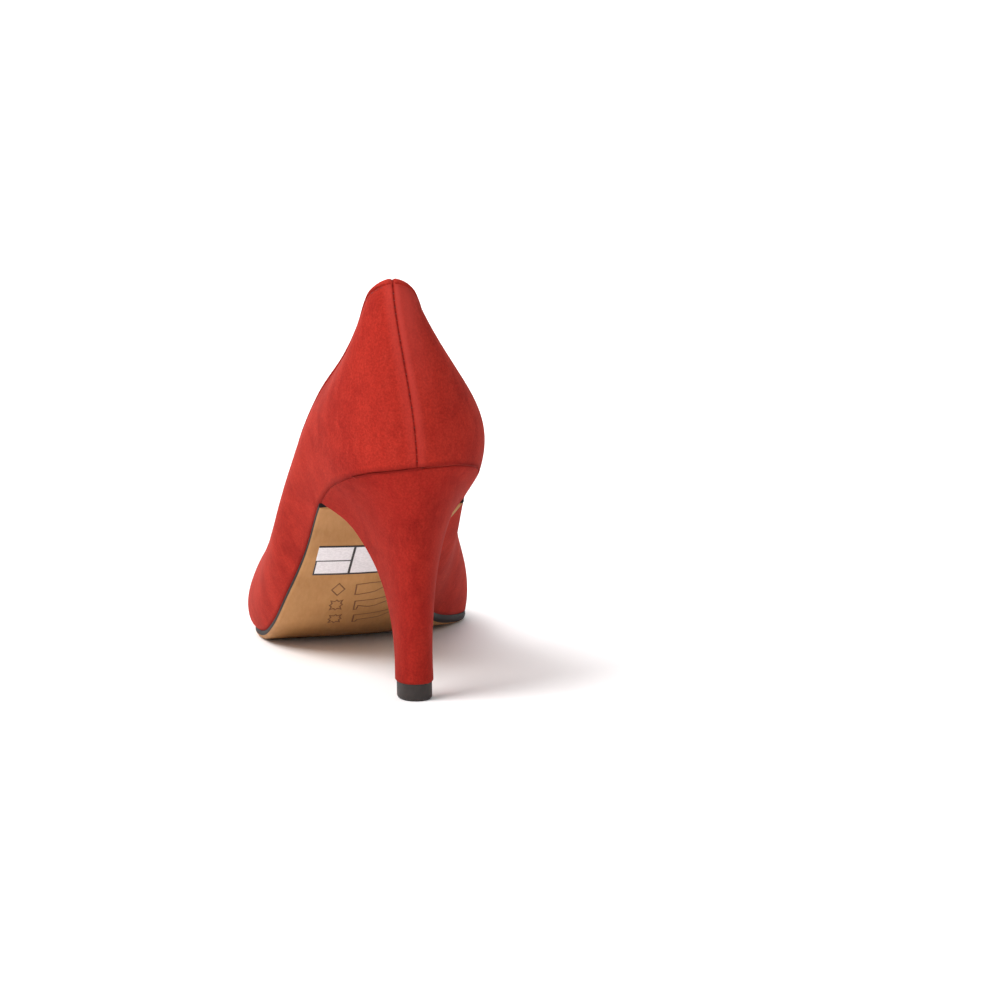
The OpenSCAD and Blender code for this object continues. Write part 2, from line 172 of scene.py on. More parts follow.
@dataclass(frozen=True)
class Curve:
    """A smooth curve through a few knots."""

    knots: tuple[tuple[float, float], ...]

    def at(self, place: Array | float) -> Array:
        """Reads the curve.

        Args:
            place: where to read it, on the scale of the knots' first numbers.

        Returns:
            The curve's value at each place.
        """
        xs, ys = np.array(self.knots, float).T
        last = len(xs) - 1
        low = np.maximum(np.arange(last + 1) - 1, 0)
        high = np.minimum(np.arange(last + 1) + 1, last)
        slope = (ys[high] - ys[low]) / (xs[high] - xs[low])
        x = np.clip(place, xs[0], xs[-1])
        i = np.clip(np.searchsorted(xs, x, side="right") - 1, 0, last - 1)
        h = xs[i + 1] - xs[i]
        s = (x - xs[i]) / h
        return (
            (2 * s**3 - 3 * s**2 + 1) * ys[i]
            + (s**3 - 2 * s**2 + s) * h * slope[i]
            + (3 * s**2 - 2 * s**3) * ys[i + 1]
            + (s**3 - s**2) * h * slope[i + 1]
        )


@dataclass(frozen=True)
class ShoeForm:
    """The surface that every layer of the shoe follows.

    An angle runs round the shoe from the back seam (0) along the outer side to the toe (180)
    and back along the inner side. A share v runs up the wall from the sole (0) to the top edge (1).
    """

    sole_len: float = 225.0
    heel_h: float = 76.0
    back_h: float = 58.0
    seat_cant: float = 0.06
    back_lean: float = 7.0
    lean_from: float = 50.0
    # The whole height that the curve of the top edge is drawn for
    drawn_h: float = 135.0
    back_y: float = 3.0
    lead: float = 7.3
    skew: float = 0.55
    skew_blend: float = 14.0
    # Where along the shoe the lead comes in and goes out, and where the cant of the seat comes in
    lead_in: tuple[float, float] = (50.0, 120.0)
    lead_out: tuple[float, float] = (240.0, 180.0)
    cant_in: tuple[float, float] = (50.0, 25.0)
    top_y: tuple[float, float] = (8.0, 160.0)
    sole_out: Curve = Curve(
        ((0, 46), (0.1, 37.5), (0.2, 32.5), (0.32, 30), (0.45, 33), (0.6, 37), (0.7, 40.5),
         (0.82, 41.5), (0.92, 35.5), (1, 32)))
    sole_in: Curve = Curve(
        ((0, 46), (0.1, 38), (0.2, 26.5), (0.32, 15.5), (0.45, 14), (0.54, 18), (0.61, 24),
         (0.69, 35.5), (0.77, 46), (0.87, 47.5), (1, 32)))
    sole_mid: Curve = Curve(((0, -1), (0.5, 0), (0.7, 0), (0.85, 1), (1, 3)))
    bottom_h: Curve = Curve(
        ((3, 76), (8, 75.3), (14, 74), (22, 72), (35, 67.5), (50, 59.5), (75, 43.5), (100, 26.5),
         (120, 14.5), (137, 6.8), (148, 4), (158, 3.1), (172, 3.2), (190, 4.2), (206, 5.8), (228, 8.5)))
    top_out: Curve = Curve(((0, 19), (0.1, 18), (0.25, 25.5), (0.5, 28.5), (0.75, 30), (0.9, 34), (1, 37)))
    top_in: Curve = Curve(((0, 19), (0.1, 18.5), (0.25, 26.5), (0.5, 25), (0.75, 25), (0.9, 31), (1, 37)))
    top_mid: Curve = Curve(((0, 0), (0.5, 0), (1, 1)))
    top_h: Curve = Curve(
        ((8, 0), (11, -1.8), (14.5, -4.6), (22, -14.5), (36, -29.5), (60, -49), (90, -67), (120, -80),
         (145, -86.5), (160, -88)))
    flare_out: Curve = Curve(
        ((0, 4), (0.1, 16), (0.25, 26), (0.4, 33), (0.5, 31.5), (0.65, 46), (0.8, 47), (1, 12)))
    flare_in: Curve = Curve(
        ((0, 4), (0.1, 17), (0.25, 28), (0.4, 42), (0.5, 46), (0.65, 27.5), (0.8, 9.5), (1, 12)))
    tuck: Curve = Curve(((0, 11), (0.1, 30), (0.25, 29), (0.5, 20), (0.75, 28), (0.9, 45), (1, 64)))
    low_pull: Curve = Curve(
        ((0, 20), (0.1, 22), (0.25, 18), (0.45, 17.5), (0.6, 12), (0.7, 10.5), (0.85, 14), (1, 22)))
    high_pull: Curve = Curve(((0, 16), (0.1, 14.5), (0.25, 16), (0.5, 15.5), (0.75, 20), (0.9, 28), (1, 30)))

    def share(self, angle: Array) -> Array:
        """Gives how far along the shoe an angle is, from 0 at the back to 1 at the toe."""
        return (1 - np.cos(np.radians(angle))) / 2

    def angle_at(self, y: float) -> float:
        """Gives the angle on the outer side at a distance y from the back."""
        return math.degrees(math.acos(1 - 2 * (y - self.back_y) / self.sole_len))

    def _half(self, angle: Array, outer: Curve, inner: Curve, middle: Curve) -> Array:
        """Gives the place across the shoe of an outline with two half widths and a middle line."""
        sine = np.sin(np.radians(angle))
        t = self.share(angle)
        return middle.at(t) - sine * np.where(sine >= 0, outer.at(t), inner.at(t))

    def sole_xy(self, angle: Array) -> Array:
        """Gives the points of the sole outline on the floor plan."""
        x = self._half(angle, self.sole_out, self.sole_in, self.sole_mid)
        return np.stack([x, self.back_y + self.sole_len * self.share(angle)], -1)

    def top_xyz(self, angle: Array) -> Array:
        """Gives the points of the top edge."""
        total = self.heel_h + self.back_h
        y = self.top_y[0] + (self.top_y[1] - self.top_y[0]) * self.share(angle)
        z = total + self.top_h.at(y) * total / self.drawn_h
        lean = self.back_lean * ramp(z, self.lean_from, total)
        return np.stack([self._half(angle, self.top_out, self.top_in, self.top_mid) - lean, y, z], -1)

    def bottom_z(self, xy: Array) -> Array:
        """Gives the height of the underside of the upper over places on the floor plan.

        The inner half of the waist reaches the floor later than the outer half.
        """
        x, y = xy[..., 0], xy[..., 1]
        fade = ramp(y, *self.lead_in) * ramp(y, *self.lead_out)
        inner_x = (x + np.sqrt(x * x + self.skew_blend**2)) / 2
        height = self.bottom_h.at(y + fade * (self.lead - self.skew * inner_x))
        return height + self.seat_cant * x * ramp(y, *self.cant_in)

    def on_bottom(self, xy: Array, up: Array | float) -> Array:
        """Gives the points at a height up over the underside."""
        xy = np.asarray(xy, float)
        return np.concatenate([xy[..., :2], (self.bottom_z(xy) + up)[..., None]], -1)

    def _plan_normal(self, outline: Callable[[Array], Array], angle: Array) -> Array:
        """Gives the outward direction of an outline on the floor plan."""
        p, q = outline(angle + NUDGE), outline(angle - NUDGE)
        return unit(np.stack([q[..., 1] - p[..., 1], p[..., 0] - q[..., 0]], -1))

    def inset(self, angle: Array, m: Array | float, up: Array | float) -> Array:
        """Gives the points m inside the sole outline, at a height up over the underside."""
        m = np.asarray(m, float)
        plan = self.sole_xy(angle) - m[..., None] * self._plan_normal(self.sole_xy, angle)
        return self.on_bottom(plan, up)

    def between(self, angle: Array, m: Array | float, share: float) -> Array:
        """Gives the points at a share of the way across, from m inside one side to m inside the other."""
        left, right = self.inset(angle, m, 0.0), self.inset(360 - angle, m, 0.0)
        return left + (right - left) * share

    def rib(self, angle: Array) -> tuple[Array, Array, Array, Array]:
        """Gives the four control points of the wall's rib at each angle."""
        t = self.share(angle)
        low, high = self.inset(angle, 0.0, 0.0), self.top_xyz(angle)
        outer = np.sin(np.radians(angle)) >= 0
        out = np.radians(np.where(outer, self.flare_out.at(t), self.flare_in.at(t)))
        back = np.radians(self.tuck.at(t))
        n1 = self._plan_normal(self.sole_xy, angle)
        n2 = self._plan_normal(self.top_xyz, angle)
        lower = np.concatenate([n1 * np.sin(out)[..., None], np.cos(out)[..., None]], -1)
        upper = np.concatenate([n2 * np.sin(back)[..., None], -np.cos(back)[..., None]], -1)
        return (
            low,
            low + self.low_pull.at(t)[..., None] * lower,
            high + self.high_pull.at(t)[..., None] * upper,
            high,
        )

    def on_rib(self, angle: Array, v: Array) -> Array:
        """Gives the points on the outside of the wall."""
        a, b, c, d = self.rib(angle)
        v = np.asarray(v, float)[..., None]
        return (1 - v) ** 3 * a + 3 * (1 - v) ** 2 * v * b + 3 * (1 - v) * v**2 * c + v**3 * d

    def up_rib(self, angle: Array, v: Array) -> Array:
        """Gives the direction up the wall."""
        a, b, c, d = self.rib(angle)
        v = np.asarray(v, float)[..., None]
        return unit((1 - v) ** 2 * (b - a) + 2 * (1 - v) * v * (c - b) + v**2 * (d - c))

    def normal(self, angle: Array, v: Array) -> Array:
        """Gives the outward direction of the wall."""
        round_it = self.on_rib(angle + NUDGE, v) - self.on_rib(angle - NUDGE, v)
        return unit(np.cross(self.up_rib(angle, v), round_it))

    def wall(self, angle: Array, v: Array, depth: Array | float) -> Array:
        """Gives the points at a depth under the outside of the wall."""
        angle, v = np.broadcast_arrays(np.asarray(angle, float), np.asarray(v, float))
        depth = np.broadcast_to(np.asarray(depth, float), angle.shape)
        return self.on_rib(angle, v) - depth[..., None] * self.normal(angle, v)

    def share_below_top(self, angle: Array, down: Array | float) -> Array:
        """Gives the wall's share at a distance down from the top edge."""
        return 1 - down / (3 * self.high_pull.at(self.share(angle)))

    def share_above_sole(self, angle: Array, up: Array | float) -> Array:
        """Gives the wall's share at a distance up from the sole."""
        return up / (3 * self.low_pull.at(self.share(angle)))

    def near_top(self, angle: Array, depth: Array | float, up: Array | float) -> Array:
        """Gives the points at a depth and a height up over the top edge, or down from it if negative."""
        angle, depth, up = np.broadcast_arrays(angle, np.asarray(depth, float), np.asarray(up, float))
        v = self.share_below_top(angle, np.maximum(-up, 0))
        return self.wall(angle, v, depth) + np.maximum(up, 0)[..., None] * self.up_rib(angle, np.ones_like(v))


@dataclass(frozen=True)
class Layers:
    """Thicknesses of the layers and the levels that they give."""

    suede: float = 1.0
    middle: float = 0.8
    lining: float = 0.7
    binding: float = 0.5
    grip: float = 0.6
    insole: float = 2.0
    foam: float = 1.5
    sock: float = 0.8
    film: float = 0.1
    margin: float = 12.0

    @property
    def under_lining(self) -> float:
        """Gives the depth of the back of the lining."""
        return self.suede + self.middle

    @property
    def inside(self) -> float:
        """Gives the depth of the face of the lining."""
        return self.under_lining + self.lining

    @property
    def margin_top(self) -> float:
        """Gives the level of the top of the turned-under margins."""
        return self.suede + self.lining

    @property
    def foam_level(self) -> float:
        """Gives the level of the underside of the foam."""
        return self.margin_top + self.insole + 2 * self.film

    @property
    def sock_level(self) -> float:
        """Gives the level of the underside of the sock."""
        return self.foam_level + self.foam + self.film


FORM = ShoeForm()
LAYERS = Layers()


def round_angles(per_half: int, crowding: float) -> Array:
    """Gives angles all the way round the shoe that stand close together at the back seam.

    Args:
        per_half: how many steps there are on each side.
        crowding: how much closer they stand at the seam, more than 0.

    Returns:
        Angles from 0 to 360.
    """
    steps = np.sinh(crowding * np.linspace(-1, 1, 2 * per_half + 1)) / math.sinh(crowding)
    return np.concatenate([180 * steps[per_half:], 360 + 180 * steps[1 : per_half + 1]])


def run_along(points: Array) -> Array:
    """Gives each row's length from its first point to every point, in mm."""
    steps = np.linalg.norm(np.diff(points, axis=1), axis=-1)
    return np.concatenate([np.zeros((len(points), 1)), np.cumsum(steps, axis=1)], axis=1)


def off_seam(points: Array) -> tuple[Array, Array]:
    """Gives each row's length up to every point and every point's distance from the back seam."""
    run = run_along(points)
    return run, np.minimum(run, run[:, -1:] - run)


def read_path(path: Array, run: Array, place: Array | float) -> Array:
    """Reads a path of points, whose length up to each point is run, at places along it."""
    return np.stack([np.interp(place, run, path[:, k]) for k in range(3)], -1)


def hand_lasted(points: Array) -> Array:
    """Gives the faint unevenness, from -1 to 1, of suede that was pulled over a last by hand."""
    x, y, z = points[..., 0], points[..., 1], points[..., 2]
    broad = np.sin(x / 8.5 + 1.4 * np.sin(y / 19)) * np.sin(z / 9.5 + y / 27 + 0.6)
    fine = np.sin(z / 4.2 + x / 6.1 + 0.9 * np.sin(y / 7.3)) * np.sin(y / 8.1 - x / 5.3)
    return 0.7 * broad + 0.3 * fine


# ---- Making pieces ----


def as_mesh(name: str, net: bmesh.types.BMesh) -> bpy.types.Mesh:
    """Makes a mesh of a net of vertices and faces, and frees the net."""
    mesh = bpy.data.meshes.new(name)
    net.to_mesh(mesh)
    net.free()
    return mesh


def put_in_scene(name: str, data: bpy.types.ID) -> bpy.types.Object:
    """Makes an object of a mesh, a light or a camera and puts it in the scene."""
    placed = bpy.data.objects.new(name, data)
    bpy.context.scene.collection.objects.link(placed)
    return placed


def lay_net(
    name: str,
    points: Array,
    marks: dict[Mark, Array] | None = None,
    flip: bool = False,
    closed: bool = False,
) -> bpy.types.Mesh:
    """Lays a grid mesh over a net of points and welds the places where it meets itself.

    Args:
        name: the mesh's name.
        points: rows and columns of points in mm, on the shoe's own floor plan.
        marks: a mask for the material at every point.
        flip: whether the faces are turned to the other side.
        closed: whether open ends are capped and the whole is turned to face out.

    Returns:
        The mesh, in metres, in place in the frame.
    """
    rows, columns = points.shape[:2]
    net = bmesh.new()
    bmesh.ops.create_grid(net, x_segments=columns - 1, y_segments=rows - 1, size=0.5)
    layers = {mark: net.verts.layers.float.new(mark.value) for mark in marks or {}}
    placed = (points - MIDDLE) * MM
    for vert in net.verts:
        column = round((vert.co.x + 0.5) * (columns - 1))
        row = round((vert.co.y + 0.5) * (rows - 1))
        vert.co = placed[row, column]
        for mark, layer in layers.items():
            vert[layer] = float(marks[mark][row, column])
    bmesh.ops.remove_doubles(net, verts=net.verts, dist=WELD)
    if flip:
        bmesh.ops.reverse_faces(net, faces=net.faces)
    if closed:
        bmesh.ops.holes_fill(net, edges=[e for e in net.edges if e.is_boundary])
        bmesh.ops.recalc_face_normals(net, faces=net.faces)
    return as_mesh(name, net)


def finish_piece(
    mesh: bpy.types.Mesh,
    materials: list[bpy.types.Material],
    replaces: tuple[str, ...] = (),
    thickness: float = 0.0,
    sharp_over: float = 50.0,
) -> bpy.types.Object:
    """Makes a mesh a piece of the shoe: dressed, smooth, riding on the body and standing for its nodes.

    Args:
        mesh: the mesh, whose name becomes the piece's.
        materials: the materials, in the order of the mesh's indices.
        replaces: the CAD nodes that the piece stands for.
        thickness: how thick a sheet is made, to the back of its faces, in mm.
        sharp_over: edges that turn by more degrees than this stay sharp.

    Returns:
        The piece.
    """
    piece = put_in_scene(mesh.name, mesh)
    for material in materials:
        mesh.materials.append(material)
    mesh.shade_smooth()
    mesh.set_sharp_from_angle(angle=math.radians(sharp_over))
    if thickness:
        wall = piece.modifiers.new("thickness", "SOLIDIFY")
        wall.thickness = thickness * MM
        wall.offset = -1
        wall.use_even_offset = False
    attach(piece, BODY)
    if replaces:
        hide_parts(*replaces)
    stands_for = ", ".join(replaces) or "nothing"
    LOG.info("%s: %d faces, stands for %s", piece.name, len(mesh.polygons), stands_for)
    return piece


def lay_stitches(
    name: str, path: Array, normals: Array, pitch: float, size: tuple[float, float, float]
) -> bpy.types.Mesh:
    """Lays a row of stitches, each a small rounded bar, along a path.

    Args:
        name: the mesh's name.
        path: points of the seam in mm.
        normals: the direction out of the surface at each point.
        pitch: distance from one stitch to the next.
        size: a stitch's length, width and height.

    Returns:
        The mesh of all the stitches.
    """
    run = run_along(path[None])[0]
    sewn = bmesh.new()
    for middle in np.arange(pitch / 2, run[-1] - pitch / 2, pitch):
        ends = [Vector(read_path(path, run, middle + d)) for d in (-0.5, 0.5)]
        out = Vector(read_path(normals, run, middle))
        along = (ends[1] - ends[0]).normalized()
        out = (out - out.dot(along) * along).normalized()
        turn = Matrix((along, out.cross(along), out)).transposed().to_4x4()
        place = Matrix.Translation(((ends[0] + ends[1]) / 2 - Vector(MIDDLE)) * MM)
        stretch = Matrix.Diagonal(Vector([s * MM / 2 for s in size] + [1.0]))
        bmesh.ops.create_uvsphere(sewn, u_segments=6, v_segments=4, radius=1, matrix=place @ turn @ stretch)
    return as_mesh(name, sewn)


# ---- Finishes ----


@dataclass(frozen=True)
class Painter:
    """The nodes of one material, with a short way to add each kind that the finishes share.

    A length is in millimetres. A colour is a socket or an sRGB hex code.
    """

    tree: bpy.types.NodeTree
    shader: bpy.types.Node
    place: Socket

    def turned(self, scale: Triple = (1.0, 1.0, 1.0), degrees: Triple = (0.0, 0.0, 0.0)) -> Socket:
        """Gives the places stretched and turned."""
        turn = tuple(math.radians(d) for d in degrees)
        return add_node(self.tree, "ShaderNodeMapping", None, {
            "Vector": self.place, "Scale": scale, "Rotation": turn}).outputs[0]

    def noise(self, size: float, detail: float, rough: float = 0.5, at: Socket | None = None,
              warp: float = 0.0) -> Socket:
        """Gives a noise whose features are of a size."""
        return add_node(self.tree, "ShaderNodeTexNoise", None, {
            "Vector": self.place if at is None else at, "Scale": per_metre(size), "Detail": detail,
            "Roughness": rough, "Distortion": warp}).outputs["Fac"]

    def waves(self, width: float, at: Socket, warp: float = 0.0, detail: float = 2.0, way: str = "X") -> Socket:
        """Gives bands of a width; the texture has 20 of them to one unit of its scale."""
        return add_node(self.tree, "ShaderNodeTexWave", {"bands_direction": way}, {
            "Vector": at, "Scale": per_metre(width) / 20, "Distortion": warp, "Detail": detail}).outputs["Fac"]

    def fit(self, value: Socket, low: float = 0.0, high: float = 1.0, to_low: float = 0.0,
            to_high: float = 1.0, smooth: bool = False) -> Socket:
        """Brings the values between two limits to lie between two others."""
        kind = {"interpolation_type": "SMOOTHSTEP" if smooth else "LINEAR"}
        return add_node(self.tree, "ShaderNodeMapRange", kind, {
            "Value": value, "From Min": low, "From Max": high, "To Min": to_low, "To Max": to_high}).outputs[0]

    def calc(self, operation: str, *values: Socket | float, limited: bool = False) -> Socket:
        """Works out a sum on sockets and numbers."""
        return add_node(self.tree, "ShaderNodeMath", {"operation": operation, "use_clamp": limited},
                        dict(enumerate(values))).outputs[0]

    def mix(self, share: Socket, first: Socket | str, second: Socket | str) -> Socket:
        """Goes from the first colour to the second as the share goes from 0 to 1."""
        ends = [linear(c) if isinstance(c, str) else c for c in (first, second)]
        return add_node(self.tree, "ShaderNodeMix", {"data_type": "RGBA"}, {
            0: share, 6: ends[0], 7: ends[1]}).outputs[2]

    def mark(self, mark: Mark) -> Socket:
        """Gives a mask that the mesh carries."""
        return add_node(self.tree, "ShaderNodeAttribute", {"attribute_name": mark.value}).outputs["Fac"]

    def colour(self, colour: Socket) -> None:
        """Makes a colour the colour of the surface."""
        self.tree.links.new(colour, self.shader.inputs["Base Color"])

    def bump(self, height: Socket, distance: float, strength: float = 1.0, sunk: bool = False) -> None:
        """Raises the surface, or sinks it, where the height is great."""
        raised = add_node(self.tree, "ShaderNodeBump", {"invert": sunk}, {
            "Height": height, "Distance": distance * MM, "Strength": strength})
        self.tree.links.new(raised.outputs[0], self.shader.inputs["Normal"])


@dataclass(frozen=True)
class Finish:
    """What every finish has: a name, a colour and how it takes the light."""

    name: str
    colour: str
    roughness: float = 0.8
    specular: float = 0.5
    metallic: float = 0.0

    def constants(self) -> dict[str, object]:
        """Gives the shader's values that are the same all over the surface."""
        return {"Roughness": self.roughness, "Specular IOR Level": self.specular, "Metallic": self.metallic}

    def paint(self, on: Painter) -> None:
        """Draws the pattern of the finish.

        Args:
            on: the material to draw in.
        """
        raise NotImplementedError

    def material(self) -> bpy.types.Material:
        """Makes the material."""
        made = bpy.data.materials.new(self.name)
        made.use_nodes = True
        shader = made.node_tree.nodes["Principled BSDF"]
        for socket, value in self.constants().items():
            shader.inputs[socket].default_value = value
        place = add_node(made.node_tree, "ShaderNodeTexCoord").outputs["Object"]
        self.paint(Painter(made.node_tree, shader, place))
        return made


@dataclass(frozen=True)
class GoatSuede(Finish):
    """Kid suede, dyed through and buffed: a short nap that scatters light, brightens at the rims
    and shows lighter and darker strokes where a hand has brushed it."""

    roughness: float = 0.95
    specular: float = 0.1
    stroked_dark: str = "#902019"
    stroked_pale: str = "#ab2f24"
    # The colour of the painted shade in seams, creases and joints
    crease_shade: str = "#6e1512"
    rubbed: str = "#c2433b"
    rim: str = "#ff8672"
    sheen: float = 0.12
    sheen_roughness: float = 0.4
    cloud_mm: float = 17.0
    stroke_mm: float = 4.5
    # The real nap is about 0.1 mm; it is drawn coarser so that it shows
    nap_mm: float = 0.7
    nap_height: float = 0.09

    def constants(self) -> dict[str, object]:
        """Adds the sheen of the nap."""
        return super().constants() | {
            "Sheen Weight": self.sheen, "Sheen Roughness": self.sheen_roughness, "Sheen Tint": linear(self.rim)}

    def paint(self, on: Painter) -> None:
        """Draws clouds, brush strokes, nap and the shade and wear that the mesh marks."""
        clouds = on.noise(self.cloud_mm, 3.0, 0.55)
        combed = on.turned((1.0, 0.8, 0.45), (0.0, 24.0, 0.0))
        strokes = on.noise(self.stroke_mm, 4.0, 0.6, combed, warp=0.8)
        nap = on.noise(self.nap_mm, 2.0, 0.7)
        base = on.mix(on.fit(clouds, 0.36, 0.64, smooth=True), self.stroked_dark, self.colour)
        brushed = on.mix(on.fit(strokes, 0.3, 0.75, to_high=0.7, smooth=True), base, self.stroked_pale)
        speckle = on.fit(nap, 0.3, 0.7, 0.8, 1.2)
        napped = add_node(on.tree, "ShaderNodeVectorMath", {"operation": "SCALE"}, {
            0: brushed, "Scale": speckle})
        worn = on.mix(on.mark(Mark.RUBBED), napped.outputs[0], self.rubbed)
        # Painted shade: the crease mask darkens the colour towards the crease colour
        on.colour(on.mix(on.mark(Mark.CREASE), worn, self.crease_shade))
        on.bump(on.calc("MULTIPLY_ADD", strokes, 0.5, nap), self.nap_height, 0.8)


@dataclass(frozen=True)
class GrainLeather(Finish):
    """Smooth vegetable-tanned leather: small pebbled grain with pores, and a soft satin face."""

    roughness: float = 0.5
    deep: str = "#a37850"
    grain_mm: float = 1.1
    cloud_mm: float = 26.0
    grain_height: float = 0.05

    def paint(self, on: Painter) -> None:
        """Draws the pebbles of the grain and the uneven take of the dye."""
        pebbles = add_node(on.tree, "ShaderNodeTexVoronoi", {"feature": "SMOOTH_F1"}, {
            "Vector": on.place, "Scale": per_metre(self.grain_mm), "Smoothness": 0.6}).outputs["Distance"]
        dye = on.fit(on.noise(self.cloud_mm, 4.0), 0.35, 0.7, to_high=0.7)
        pores = on.fit(pebbles, 0.45, 0.8, to_high=0.35)
        on.colour(on.mix(on.calc("ADD", dye, pores, limited=True), self.colour, self.deep))
        on.bump(pebbles, self.grain_height, 0.6, sunk=True)


@dataclass(frozen=True)
class SoleLeather(Finish):
    """Waxed sole leather with a painted edge: dense and even, faint fibres along it, a satin shine
    from the waxing wheel, and a dark coat of edge ink that ends in a clean line."""

    roughness: float = 0.6
    specular: float = 0.15
    deep: str = "#9a6c3e"
    edge_ink: str = "#1f1918"
    fibre_mm: float = 1.4
    cloud_mm: float = 30.0

    def paint(self, on: Painter) -> None:
        """Draws the fibres and clouds of the leather and the ink on its edge."""
        clouds = on.noise(self.cloud_mm, 3.0)
        fibres = on.noise(self.fibre_mm, 4.0, 0.65, on.turned((1.0, 0.25, 0.25)))
        depth = on.fit(on.calc("MULTIPLY_ADD", fibres, 0.35, clouds), 0.5, 0.9)
        tanned = on.mix(depth, self.colour, self.deep)
        on.colour(on.mix(on.fit(on.mark(Mark.PAINT), 0.44, 0.56), tanned, self.edge_ink))
        on.bump(fibres, 0.03, 0.5)


@dataclass(frozen=True)
class WovenCotton(Finish):
    """Plain-woven cotton: threads over and under each other, dull and off-white."""

    roughness: float = 0.9
    specular: float = 0.2
    # The colour of the painted shade in the gaps between the threads
    gap_shade: str = "#8f8672"
    thread_mm: float = 0.8

    def paint(self, on: Painter) -> None:
        """Draws the warp and the weft as two crossed waves, with painted shade in the gaps between them."""
        warp, weft = (on.waves(self.thread_mm, on.place, 0.4, 1.0, way) for way in ("Y", "Z"))
        weave = on.calc("MULTIPLY", warp, weft)
        on.colour(on.mix(weave, self.gap_shade, self.colour))
        on.bump(weave, 0.1)


@dataclass(frozen=True)
class Speckled(Finish):
    """A solid with its own grains or fibres: pressed board, cork, foam, moulded stiffener or paper."""

    second: str = "#6b4a30"
    grain_mm: float = 1.0
    stretch: Triple = (1.0, 1.0, 1.0)
    height: float = 0.05
    sharpness: float = 0.2

    def paint(self, on: Painter) -> None:
        """Draws the grains."""
        grains = on.noise(self.grain_mm, 3.0, 0.6, on.turned(self.stretch))
        spread = on.fit(grains, 0.5 - self.sharpness, 0.5 + self.sharpness, smooth=True)
        on.colour(on.mix(spread, self.second, self.colour))
        on.bump(grains, self.height, 0.7)


@dataclass(frozen=True)
class DrawnSteel(Finish):
    """Drawn or rolled steel: bright, with fine lines along the way it was worked."""

    roughness: float = 0.32
    metallic: float = 1.0
    dull: str = "#8b8d90"
    line_mm: float = 0.35

    def paint(self, on: Painter) -> None:
        """Draws the lines in the colour and the roughness."""
        lines = on.noise(self.line_mm, 2.0, at=on.turned((1.0, 1.0, 0.04)))
        on.colour(on.mix(lines, self.dull, self.colour))
        rough = on.fit(lines, to_low=self.roughness - 0.08, to_high=self.roughness + 0.12)
        on.tree.links.new(rough, on.shader.inputs["Roughness"])


@dataclass(frozen=True)
class SpunThread(Finish):
    """Twisted polyester sewing thread: two plies that turn round each other, with a soft shine."""

    roughness: float = 0.55
    # The colour of the painted shade in the grooves between the plies
    groove: str = "#6d0f10"
    ply_mm: float = 0.5

    def paint(self, on: Painter) -> None:
        """Draws the plies as slanting bands, with painted shade in the grooves between them."""
        plies = on.waves(self.ply_mm, on.turned(degrees=(35.0, 30.0, 25.0)))
        on.colour(on.mix(plies, self.groove, self.colour))
        on.bump(plies, 0.04)


def dressed(finish: Finish) -> bpy.types.Material:
    """Declares a field whose material is made together with the unit that holds it."""
    return field(default_factory=finish.material)


# ---- Upper ----


